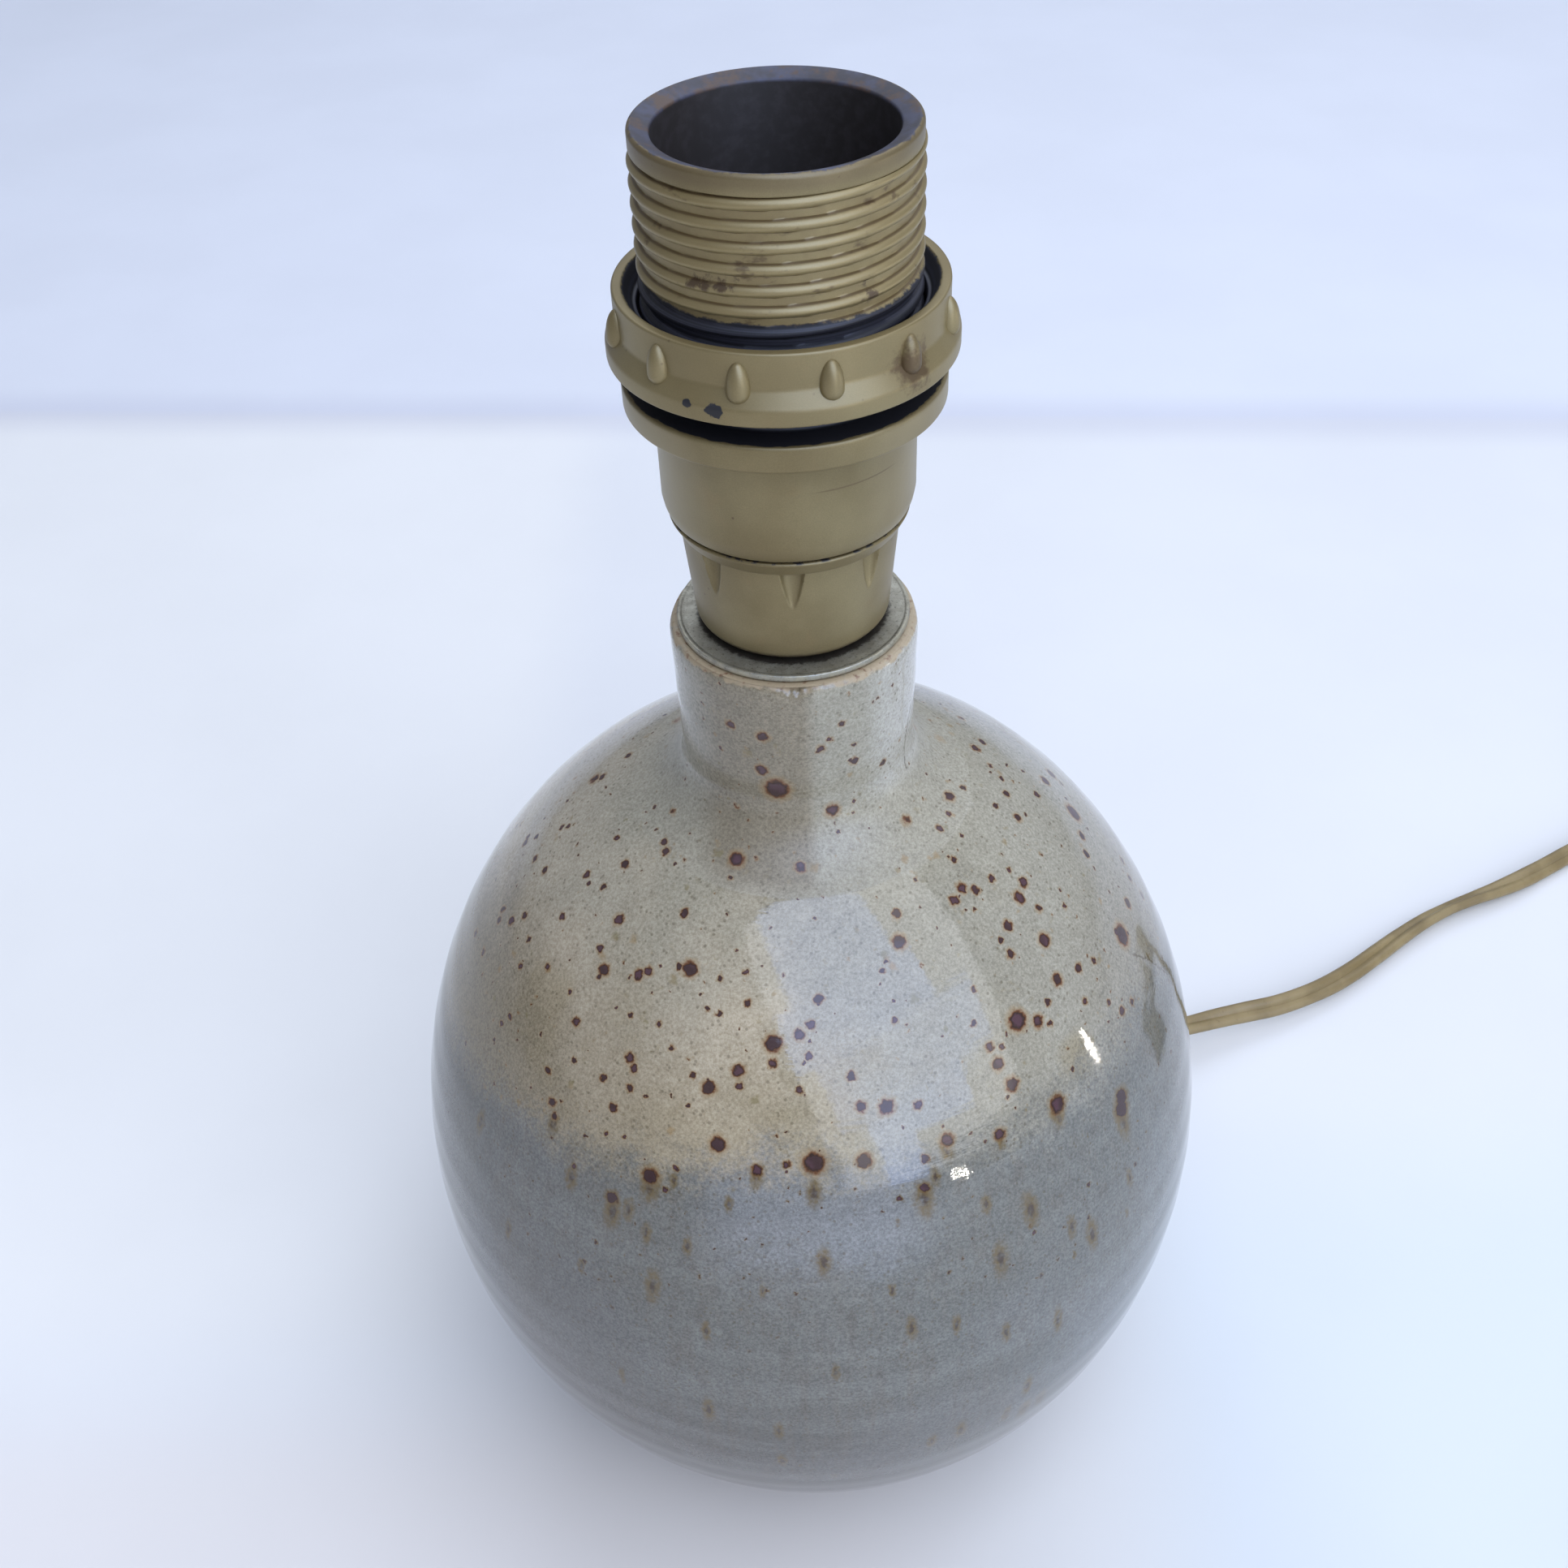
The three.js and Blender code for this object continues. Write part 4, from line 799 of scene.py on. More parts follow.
# The lower glaze has brushed bands and fine streaks, stronger further down. A band of painted light and two
# rows of painted shade are marked
deep_zone = (95, 45)
lower_tints = [
    (deep_grey, 1, ((0.16, 3, 0.6, (0.06, 0.06, 1)), 0.42, 0.58), ("deep", 0, 1, 0.25, 0.75)),
    (warm_grey, 1, ((0.5, 3, 0.6, (1, 1, 0.08)), 0.42, 0.72), ("deep", 0, 1, 0.25, 0.5)),
    ((92, 88, 82), 0.35, ((0.32, 4, 0.7, (1, 1, 0.45)), 0.5, 0.66)),
    (pale_blue, 0.5, ((0.03, 2), 0.45, 0.7)),
    # Painted light: a lighter band at the front, just below the glaze line
    ((131, 135, 141), 0.7, ("above", -20, -11), ("x", -24, -10), ("x", 24, 10), ("y", -20, -50)),
    # Painted shade: the next two rows darken the left edge and the lower left
    ((80, 78, 72), 0.7, ("x", -50, -64), ("z", 98, 106)),
    ((84, 84, 82), 0.4, ("x", -16, -44), ("z", 104, 88)),
    ((70, 68, 66), 0.35, ("z", 80, 56)),
    ((60, 58, 56), 0.85, ("z", 44, 10)),
]
# Grain and clouds of both glazes, as shares, noises and ramps, then dust and small stains
glaze_grains = [
    (0.85, (1.9, 4, 0.8), [(0.38, 0.32), (0.62, 0.7)]),
    (0.4, (0.4, 4, 0.6, (1, 1, 0.6)), [(0.3, 0.38), (0.7, 0.62)]),
]
dust_spacing = 1.2
fine_tints = [
    ((92, 84, 68), 0.5, ("dust", 0.3, 0.14), ((0.35, 2), 0.42, 0.56)),
    ((134, 122, 88), 0.4, ((0.5, 4, 0.7), 0.6, 0.74), "upper"),
]
# Scattered spots: spacing, smallest and largest radius, and the share of the cells with one
speck_field = (2.5, 0.16, 0.42, 0.75)
back_spot_fields = [(7.5, 0.5, 1.5, 0.9), (4.6, 0.3, 0.9, 0.6)]
stain_field = (3.4, 0.25, 0.8, 0.55)
run_field = (6.0, 0.3, 0.9, 0.3)
spot_size_power = 2.5
# The side that the photograph shows carries its own large spots
unseen_zone = (-8, 4)
unseen_push = 9
# How far the outlines of spots are pushed about, and the noise that does it
push_noise = (1.1, 3)
push_reach = 1.3
# Colour and cover of a spot, at shares of twice its radius
spot_shades = [
    (0, spot_heart), (0.24, spot_heart), (0.36, spot_rim), (0.47, spot_rust), (0.58, spot_halo),
    (1, spot_halo),
]
spot_cover_shades = [(0, 0.96), (0.44, 0.96), (0.55, 0.5), (0.8, 0.0)]
spot_zone = ("above", -44, -18)
spot_tints = [
    ((96, 84, 56), 0.8, ("spots", 0.7, 0.95), ("above", 4, -6)),
    (spot_heart_dark, 1, ((0.13, 2), 0.44, 0.56), ("spots", 0.7, 0.5)),
]
stain_waver = (0.7, 1, 3)
stain_mix = ((0.2, 2), 0.4, 0.6)
stain_cover = (0.55, ("stains", 1.3, 0.3), ("above", -10, 0))
run_stretch = (1, 1, 0.3)
run_core = (0.7, 0.25)
run_cover = (0.85, ("runs", 1.7, 0.5), ("above", 9, 0), ((0.9, 3), 0.3, 0.6, 0.5, 1))
# A crack lies along its line, and its ends fade
crack_over = 0.5
crack_under = 0.3
crack_zones = [("aside", 0.28, 0.1), ("reach", -crack_over, crack_under), ("y", 20, 10)]
crack_share = 0.65
# Bare clay at the mouth, at the foot and in the bore
clay_tints = [(clay_dark, 1, ((0.8, 3), 0.55, 0.7))]
mouth_waver = (0.9, 0.45, 3)
foot_waver = (1, 0.2, 2)
mouth_bare = (0.8, ("under_mouth", 0.9, 0.3))
foot_bare = (1, ("over_foot", 3.2, 1.8))
bore_bare = (1, ("radius", 15.6, 15.4))
# The surface: throwing rings, then a fine orange peel, and a duller zone round the neck's foot
ring_noise = (0.8, 3, 0.6)
ring_depth = 0.045 * mm
ring_strength = 0.6
glaze_bumps = [((0.3, 2), 0.05, 0.5), ((1.4, 2), 0.008, 1)]
glaze_rough = ((0.7, 3), 0.3, 0.7, 0.03, 0.06)
fillet_zones = [("past_fillet", 0.4, -0.4), ("under_fillet", 0, 6)]
fillet_rough = 0.45
spot_rough = 0.2
spot_rough_share = 0.5
clay_rough = 0.75
glaze_ior = 1.52
least_radius_share = 0.0001


def nearest(shader, place, marks):
    """How far a place is from the nearest mark, in radii of that mark."""
    shares = [
        shader.math("DIVIDE", shader.vector("DISTANCE", place, tuple(centre / mm)), radius / mm)
        for centre, radius in marks
    ]
    return shader.chain("MINIMUM", *shares)


def marks_from(pixels, stretch=(1, 1, 1)):
    marks = []
    for x, y, size in pixels:
        centre = on_body(x, y)
        if centre is not None:
            radius = size / focal_pixels * (centre - camera_place).length
            marks.append((centre * Vector(stretch), radius))
    return marks


def random_spots(shader, place, spacing, small, large, share_kept):
    """Scattered spots as distance in radii; a cell keeps its spot for a share of the cells."""
    away, random_colour = shader.cells(spacing, place)
    chance, size, _ = shader.node("SeparateColor", random_colour).outputs
    squared = shader.math("POWER", size, spot_size_power)
    radius = shader.between(squared, 0, 1, small / spacing, large / spacing, smooth=False)
    kept = shader.math("LESS_THAN", chance, share_kept)
    size = shader.math("MAXIMUM", shader.both(radius, kept), least_radius_share)
    return shader.math("DIVIDE", away, size)


def glaze_line(s):
    """How far a place is above the line where the two glazes meet."""
    facing, sideways = (s.math("DIVIDE", v, s.math("MAXIMUM", s.radius, 1)) for v in (s.y, s.x))
    level = s.math("MULTIPLY_ADD", facing, -glaze_line_swing, glaze_line_height)
    level = s.math("ADD", level, s.between(sideways, *glaze_line_rise_shares, 0, glaze_line_rise))
    for reach, *field in glaze_line_wavers:
        level = s.ragged(level, reach, *field, smooth=False)
    return s.math("SUBTRACT", s.z, level)


def two_glazes(s, above, upper):
    side, height = s.ragged(s.x, *side_waver), s.ragged(s.z, *height_waver)
    warm = s.ragged(nearest(s, s.place, marks_from(warm_pixels)), *warm_waver)
    cream = s.tinted(beige, upper_tints, above=above, side=side, height=height, warm=warm)
    lower = s.tinted(blue_grey, lower_tints, above=above, deep=s.between(s.z, *deep_zone))
    colour = s.mix(upper, lower, cream)
    for share, field, stops in glaze_grains:
        colour = s.grained(colour, share, s.noise(*field), stops, "SOFT_LIGHT")
    return s.tinted(colour, fine_tints, dust=s.cells(dust_spacing)[0], upper=upper)


def stains_and_runs(s, colour, pushed, above):
    stains = nearest(s, pushed, marks_from(stain_pixels))
    stains = s.math("MINIMUM", stains, random_spots(s, pushed, *stain_field))
    stained = s.cover(*stain_cover, stains=s.ragged(stains, *stain_waver), above=above)
    colour = s.mix(stained, colour, s.mix(s.cloud(*stain_mix), spot_halo, stain_green))
    stretched = s.vector("MULTIPLY", pushed, run_stretch)
    runs = nearest(s, stretched, marks_from(run_pixels, run_stretch))
    runs = s.math("MINIMUM", runs, random_spots(s, stretched, *run_field))
    run = s.mix(s.between(runs, *run_core), run_ochre, run_heart)
    return s.mix(s.cover(*run_cover, runs=runs, above=above), colour, run)


def iron_spots(s, colour, pushed, above):
    """The colour with its spots, and how far they cover it."""
    spots = nearest(s, pushed, marks_from(spot_pixels))
    spots = s.math("MINIMUM", spots, random_spots(s, pushed, *speck_field))
    back = s.chain("MINIMUM", *(random_spots(s, pushed, *field) for field in back_spot_fields))
    unseen = s.between(s.y, *unseen_zone)
    back = s.math("ADD", back, s.between(unseen, 0, 1, unseen_push, 0))
    spots = s.math("MINIMUM", spots, back)
    along = s.math("MULTIPLY", spots, 0.5)
    shade = s.tinted(s.ramp(along, spot_shades), spot_tints, spots=spots, above=above)
    cover = s.cover(s.ramp(along, spot_cover_shades), spot_zone, above=above)
    return s.mix(cover, colour, shade), cover


def cracked(s, colour, pushed):
    for start, end in (pair for line in crack_lines for pair in zip(line, line[1:])):
        a, b = on_body(*start), on_body(*end)
        along = (b - a).normalized()
        across = along.cross(((a + b) / 2 * Vector((1, 1, 0))).normalized()).normalized()
        offset = s.vector("SUBTRACT", pushed, tuple(a / mm))
        aside = s.math("ABSOLUTE", s.vector("DOT_PRODUCT", offset, tuple(across)))
        reach = s.vector("DOT_PRODUCT", offset, tuple(along))
        length = (b - a).length / mm
        far_end = ("reach", length + crack_over, length - crack_under)
        crack = s.cover(crack_share, *crack_zones, far_end, aside=aside, reach=reach)
        colour = s.mix(crack, colour, crack_grey)
    return colour


def glaze_surface(s):
    """The normal, and the roughness where nothing lies on the glaze."""
    rings = s.noise(*ring_noise, place=s.node("CombineXYZ", s.radius, s.z).outputs[0])
    normal = s.bumps(glaze_bumps, s.bump(rings, ring_depth, ring_strength))
    fillet_radius = (neck_waist_radius + neck_fillet_reach) / mm
    fillet_top = (height_on_side(neck_waist_radius) + neck_fillet_rise) / mm
    past_fillet = s.math("SUBTRACT", s.radius, fillet_radius)
    under_fillet = s.math("SUBTRACT", fillet_top, s.z)
    fillet = s.cover(1, *fillet_zones, past_fillet=past_fillet, under_fillet=under_fillet)
    return normal, s.mix(fillet, s.cloud(*glaze_rough), fillet_rough)


def make_glaze():
    s = Shader("glaze")
    above = glaze_line(s)
    upper = s.between(above, -glaze_line_blend, glaze_line_blend)
    colour = two_glazes(s, above, upper)
    noise = s.node("TexNoise", s.place, None, *push_noise).outputs["Color"]
    push = s.vector("MULTIPLY", s.vector("SUBTRACT", noise, (0.5,) * 3), (push_reach,) * 3)
    pushed = s.vector("ADD", s.place, push)
    colour = stains_and_runs(s, colour, pushed, above)
    colour, spotted = iron_spots(s, colour, pushed, above)
    colour = cracked(s, colour, pushed)
    under_mouth = s.math("SUBTRACT", mouth_height / mm, s.ragged(s.z, *mouth_waver))
    bare = s.either(
        s.cover(*mouth_bare, under_mouth=under_mouth),
        s.cover(*foot_bare, over_foot=s.ragged(s.z, *foot_waver)),
        s.cover(*bore_bare),
    )
    colour = s.mix(bare, colour, s.tinted(clay, clay_tints))
    normal, rough = glaze_surface(s)
    rough = s.mix(s.both(spotted, spot_rough_share), rough, spot_rough)
    return s.finish(colour, s.mix(bare, rough, clay_rough), normal=normal, IOR=glaze_ior)


def body_outline():
    """The outline, and for each of its points whether it is on the outer side."""
    inner_radius = body_radius - body_wall
    inner_half = body_half_height - body_wall
    foot_face = foot_radius - foot_bevel
    recess = foot_face - foot_ring_width
    fillet_radius = neck_waist_radius + neck_fillet_reach
    foot_angle = math.asin((foot_bevel - side_centre) / body_half_height)
    fillet_angle = math.acos(fillet_radius / body_radius)
    side = arc((0, side_centre), (body_radius, body_half_height), foot_angle, fillet_angle, side_rows)
    start = Vector((fillet_radius, height_on_side(fillet_radius)))
    corner = Vector((neck_waist_radius, height_on_side(neck_waist_radius)))
    fillet = bend(start, corner, corner + Vector((0, neck_fillet_rise)), fillet_rows)[1:]
    round_middle = (neck_radius - mouth_round, mouth_height - mouth_round)
    mouth = arc(round_middle, (mouth_round, mouth_round), 0, quarter_turn, mouth_rows)
    neck = divide([fillet[-1], mouth[0]], neck_row_height)[1:-1]
    bore = neck_radius - neck_wall
    top_angle = math.acos(bore / inner_radius)
    floor_angle = math.asin((body_floor - side_centre) / inner_half)
    inside = arc((0, side_centre), (inner_radius, inner_half), top_angle, floor_angle, inside_rows)
    foot = [(0, foot_recess), (recess, foot_recess), (recess + foot_recess, 0), (foot_face, 0), side[0]]
    outer = soften(foot, foot_round, closed=False)[:-1] + side + fillet + neck + mouth
    outline = np.array(outer + [(bore, mouth_height)] + inside + [(0, body_floor)])
    is_outer = np.arange(len(outline)) < len(outer)
    is_side = is_outer & (outline[:, 0] > neck_waist_radius - side_margin) & (outline[:, 1] > foot_bevel)
    return outline, is_side


def make_body():
    outline, side = body_outline()
    height = outline[:, 1]
    rings = smoothstep(height, foot_bevel, throwing_start)
    near_mouth = smoothstep(height, mouth_height - mouth_worn_height, mouth_height) * side

    def profile_at(angle):
        shape = outline.copy()
        sway = sum(reach * math.sin(waves * angle) for reach, waves in throwing_sways)
        phase = height * full_turn / throwing_pitch + sway
        shape[:, 0] -= throwing_depth * (0.5 + 0.5 * np.sin(phase)) * rings * side
        turn = (angle - chip_angle + math.pi) % full_turn - math.pi
        ripple = 1 + chip_ripple * math.sin(chip_ripples * turn / chip_width)
        chip = math.exp(-((turn / chip_width) ** 2)) * ripple
        waver = sum(reach * math.sin(waves * angle + start) for reach, waves, start in mouth_wavers)
        shape[:, 0] -= (chip_depth * chip + mouth_worn_depth + waver) * near_mouth
        shape[:, 1] -= chip_drop * chip * near_mouth
        return shape

    body = turned("stoneware_body", profile_at, body_columns, make_glaze(), False, 60)
    cut_cord_hole(body)
    dress(body, "stoneware", "lamp", "ceramic_body")


def cut_cord_hole(body):
    size = {"radius": cord_hole_radius, "depth": body_radius}
    bpy.ops.mesh.primitive_cylinder_add(vertices=cord_hole_columns, **size)
    cutter = bpy.context.object
    exit_direction = Vector((math.cos(exit_angle), math.sin(exit_angle), 0))
    cutter.rotation_mode = "QUATERNION"
    cutter.rotation_quaternion = exit_direction.to_track_quat("Z", "Y")
    cutter.location = exit_direction * body_radius + Vector((0, 0, exit_height))
    bpy.context.view_layer.update()
    hole = body.modifiers.new("cord hole", "BOOLEAN")
    hole.object = cutter
    hole.solver = "EXACT"
    bpy.context.view_layer.objects.active = body
    bpy.ops.object.modifier_apply(modifier=hole.name)
    bpy.data.objects.remove(cutter)


# Flex
def smooth_route(points):
    """Centripetal curve through the points, as evenly spaced places in metres."""
    knots = [Vector(p) * mm for p in points]
    knots = [knots[0] * 2 - knots[1]] + knots + [knots[-1] * 2 - knots[-2]]
    dense = []
    for p0, p1, p2, p3 in zip(knots, knots[1:], knots[2:], knots[3:]):
        t0 = 0.0
        t1 = t0 + math.sqrt((p1 - p0).length)
        t2 = t1 + math.sqrt((p2 - p1).length)
        t3 = t2 + math.sqrt((p3 - p2).length)
        for k in range(curve_steps):
            u = t1 + (t2 - t1) * k / curve_steps
            a1 = p0.lerp(p1, (u - t0) / (t1 - t0))
            a2 = p1.lerp(p2, (u - t1) / (t2 - t1))
            a3 = p2.lerp(p3, (u - t2) / (t3 - t2))
            b1 = a1.lerp(a2, (u - t0) / (t2 - t0))
            b2 = a2.lerp(a3, (u - t1) / (t3 - t1))
            dense.append(b1.lerp(b2, (u - t1) / (t2 - t1)))
    dense.append(knots[-2])
    along = np.cumsum([0] + [(b - a).length for a, b in zip(dense, dense[1:])])
    steps = max(2, round(along[-1] / flex_step))
    wanted = np.linspace(0, along[-1], steps + 1)
    columns = [np.interp(wanted, along, [p[k] for p in dense]) for k in range(3)]
    return [Vector(p) for p in zip(*columns)]


def coil_route():
    turns = 2 * coil_layer_turns + coil_climb_turns
    inner = coil_radius - coil_turn_spacing * coil_layer_turns
    reversal = coil_layer_turns + coil_climb_turns / 2
    climb_start = coil_layer_turns + coil_climb_turns * coil_climb_start_share
    climb_end = coil_layer_turns + coil_climb_turns * coil_climb_end_share
    places = []
    for i in range(round(turns * coil_points_per_turn) + 1):
        turn = i / coil_points_per_turn
        radius = inner + coil_turn_spacing * (abs(turn - reversal) - coil_climb_turns / 2)
        height = coil_low_layer + coil_layer_spacing * smoothstep(turn, climb_start, climb_end)
        angle = -turn * full_turn
        x, y = coil_x + radius * math.cos(angle), coil_y + radius * math.sin(angle)
        places.append(Vector((x, y, height)))
    return places


def flex_route():
    """Places along the free flex and the tilt of its wide side at each, in radians."""
    lead, run, tail = (smooth_route(route) for route in (lead_route, run_route, tail_route))
    entry, way_out = Vector(lead_route[-1]) * mm, Vector(run_route[0]) * mm
    through = [entry.lerp(way_out, k / curve_steps) for k in range(1, curve_steps)]
    coil = coil_route()
    tilts = [
        np.interp(np.linspace(0, 1, len(lead)), *zip(*lead_tilts)),
        np.zeros(len(through)),
        np.linspace(0, coil_tilt, len(run)),
        np.full(len(coil), coil_tilt),
        np.linspace(coil_tilt, 0, len(tail)),
    ]
    return lead + through + run + coil + tail, np.radians(np.concatenate(tilts))


def twin_section():
    """Two round cores side by side, with a groove between them, as (across, up)."""
    core = flex_thickness / 2
    offset = flex_width / 2 - core
    groove = math.pi - math.acos(min(1, offset / core * flex_waist_share))
    right = arc((offset, 0), (core, core), -groove, groove, core_points)
    waist = core * flex_waist_share
    left = [(-x, -y) for x, y in right]
    return right + [(0, waist)] + left + [(0, -waist)]


def make_flex():
    places, turns = [], []
    for place, tilt in zip(*flex_route()):
        if not places or (place - places[-1]).length > flex_least_step:
            places.append(place)
            turns.append(tilt)
    section = twin_section()
    vertices = []
    for i, place in enumerate(places):
        tangent = (places[min(i + 1, len(places) - 1)] - places[max(i - 1, 0)]).normalized()
        level = Vector((0, 0, 1)).cross(tangent).normalized()
        across = Matrix.Rotation(turns[i], 3, tangent) @ level
        up = tangent.cross(across)
        vertices += [place + across * x + up * y for x, y in section]
    count = len(section)
    faces = grid_faces(len(places), count, False, True)
    faces.append(tuple(range(count)))
    faces.append(tuple(range(len(vertices) - count, len(vertices))))
    flex = make_object("flex", vertices, faces, flex_material(), 50)
    dress(flex, "gold_flex", "lamp", "flex_lead", "flex_run", "flex_coil", "flex_tail")
    return flex, places


flex_gold = (126, 110, 75)
flex_tints = [
    ((144, 128, 91), 1, ((0.12, 3), 0.35, 0.65)),
    ((110, 92, 58), 0.5, ((0.9, 4, 0.7), 0.58, 0.72)),
]
flex_bumps = [((2.5, 3), 0.02, 0.5)]
flex_rough = ((0.6, 2), 0.3, 0.7, 0.36, 0.5)


def flex_material():
    s = Shader("gold flex")
    colour = s.tinted(flex_gold, flex_tints)
    return s.finish(colour, s.cloud(*flex_rough), normal=s.bumps(flex_bumps))


# Places that the lampholder's pieces and paint follow
cap_low, cap_high = (corner.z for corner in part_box("holder_cap"))
shell_base, rim_height = (corner.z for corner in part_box("holder_shell"))
ring_low, ring_top = (corner.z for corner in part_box("shade_ring"))
parting_height = shell_base - parting_gap
flange_top = rim_height - flange_drop
flange_low = flange_top - flange_thickness
thread_top = rim_height - rim_band_height

# Paint and metal
gold_light = (134, 122, 88)
gold_deep = (118, 105, 72)
# Painted sheen, laid on the barrel's sides in place of reflections
painted_sheen_gold = (158, 148, 122)
bakelite = (40, 37, 37)
worn_grey = (58, 57, 66)
worn_blue = (68, 71, 92)
worn_brown = (82, 66, 58)
# Brown for grit and dirt, and for painted shade in the thread's roots and creases
dirt_and_shade_brown = (82, 62, 44)
gold_tints = [
    (gold_light, 1, ((0.07, 3), 0.3, 0.7)),
    ((134, 112, 76), 0.3, ((0.16, 4, 0.6), 0.55, 0.8)),
]
flake_noise = (7, 2)
flake_share = 0.35
flake_stops = [(0.35, 0.4), (0.65, 0.6)]
flake_depth = 0.006 * mm
flake_strength = 0.5
gold_bumps = [((0.9, 3), 0.03, 0.5)]
grit_spacing = 3.2
grit_tints = [(dirt_and_shade_brown, 0.7, ("grit", 0.085, 0.03), ((0.3, 2), 0.52, 0.6))]
gold_rough = 0.42
gold_metallic = 0.42
bare_rough = 0.55
threaded_zones = [("over_ring", 0, 0.5), ("over_thread", 0.3, -0.3)]
smear_waver = (0.8, 0.9, 4, 0.7)
# How far dirt and painted shade darken the thread's roots
root_dirt_and_shade = ((0.22, 4, 0.65), 0.38, 0.62, 0.05, 0.4)
shell_tints = [
    # Dirt and painted shade in the thread's roots
    (dirt_and_shade_brown, 1, ("radius", barrel_radius / mm, 18.85), "threaded", root_dirt_and_shade),
    ((154, 138, 98), 0.5, "threaded"),
    # Painted shade: a dark line in the crease at the foot of each flank
    (dirt_and_shade_brown, 0.6, ("root", 0.02, 0.1), ("root", 0.5, 0.25), "threaded"),
    # Painted sheen: lighter on the barrel's left and right, in place of reflections of the bright
    # surroundings
    (painted_sheen_gold, 0.6, ("x", -10, -19), ("below_flange", 0, 1)),
    (painted_sheen_gold, 0.45, ("x", 9, 18), ("below_flange", 0, 1)),
    ((74, 54, 42), 0.6, "threaded", ((0.13, 4, 0.7, (1, 1, 2.2)), 0.6, 0.7)),
    ((66, 48, 40), 0.8, ("smears", 1.2, 0.5)),
    # The faint moulding line on the right of the barrel, and the band of the rim
    (dirt_and_shade_brown, 0.5, ("seam", 0.16, 0.05), ("x", 2, 6), ("x", 16, 13), ("y", 0, -4)),
    ((98, 84, 62), 0.5, ("band", 0, 1.6)),
]
# Bare bakelite on the shell: the worn rim, the bore, what the shade ring kept from the paint, and
# the foot, each with its zones
worn_edge = (0.55, 0.35, 4, 0.7)
kept_edge = (0.3, 0.5, 3)
rim_bare = [("edge", rim_radius / mm + 0.2, rim_radius / mm - 0.1), ("over_rim", -1.5, -1.2)]
inner_bare = [("radius", 16.65, 16.5)]
kept_bare = [("over_ring", 1.9, 1.5), ("over_flange", -0.45, -0.25), ("edge", 22.95, 22.75)]
base_bare = [("over_base", 0.35, 0.05), ((0.4, 4, 0.7), 0.42, 0.56)]
bakelite_tints = [((50, 47, 50), 1, ((0.5, 4, 0.65), 0.4, 0.7))]
kept_dark = (22, 22, 28)
# Painted highlights: faint bluish lines across the bare thread kept under the ring
kept_painted_highlights = [((48, 49, 62), 1, ((2.6, 2, 0.5, (0, 0, 1)), 0.45, 0.58))]
worn_tints = [(worn_blue, 1, ((0.25, 3, 0.6), 0.4, 0.65)), (worn_brown, 1, ("patches", 0.5, 0.66))]
patches_noise = (0.2, 4, 0.7)
patches_shift = (40, 0, 0)
rim_wear = 0.9
# The ring: paint made paler as a painted highlight, with one worn patch, bare inside its lip, underneath
# and at its chips
ring_highlight_and_wear_tints = [((156, 142, 104), 0.24), ((88, 70, 48), 0.85, ("patch", 1.1, 0.5))]
ring_lip = (ring_collar_radius - ring_lip_width) / mm
ring_edge = (0.35, 0.7, 4, 0.7)
ring_inside = ("edge", ring_lip + 0.1, ring_lip - 0.15)
ring_under = ("edge", 0.15, -0.1)
ring_chips = ("chips", 1.05, 0.85)
chip_waver = (0.5, 1.2, 3)
patch_waver = (0.6, 0.6, 4, 0.7)
circle_noise = (1.5, 1)
ring_dark = (28, 27, 31)
# Painted reflection: faint bluish rings on the black dish inside the lip
ring_dark_reflection_tints = [((46, 47, 58), 1, ("circles", 0.45, 0.6), "inside")]
paint_edge_levels = (0.5, 0)
paint_edge_depth = 0.05 * mm
paint_edge_strength = 0.6
cap_chips = [("over_parting", -0.25, -0.05), ((0.6, 4, 0.7), 0.5, 0.58)]
cap_tints = [
    (dirt_and_shade_brown, 0.6, ("seam", 0.22, 0.05), ((0.25, 3), 0.35, 0.6)),
    ((70, 58, 44), 0.8, ("low", 1.7, 0.7), ((0.5, 4, 0.7), 0.3, 0.6)),
]


def gold_base(s):
    """Sprayed gold paint: colour and normal, before its wear."""
    colour = s.tinted(gold_deep, gold_tints)
    flake = s.noise(*flake_noise)
    colour = s.grained(colour, flake_share, flake, flake_stops, "OVERLAY")
    colour = s.tinted(colour, grit_tints, grit=s.cells(grit_spacing)[0])
    return colour, s.bump(flake, flake_depth, flake_strength, s.bumps(gold_bumps))


def gold_finish(s, colour, normal, bare):
    metallic = s.between(bare, 0, 1, gold_metallic, 0)
    return s.finish(colour, s.mix(bare, gold_rough, bare_rough), metallic, normal)


def height_over(s, height):
    return s.math("SUBTRACT", s.z, height / mm)


def marks_on(pixels, radius):
    return [(on_cylinder(x, y, radius), size * mm) for x, y, size in pixels]


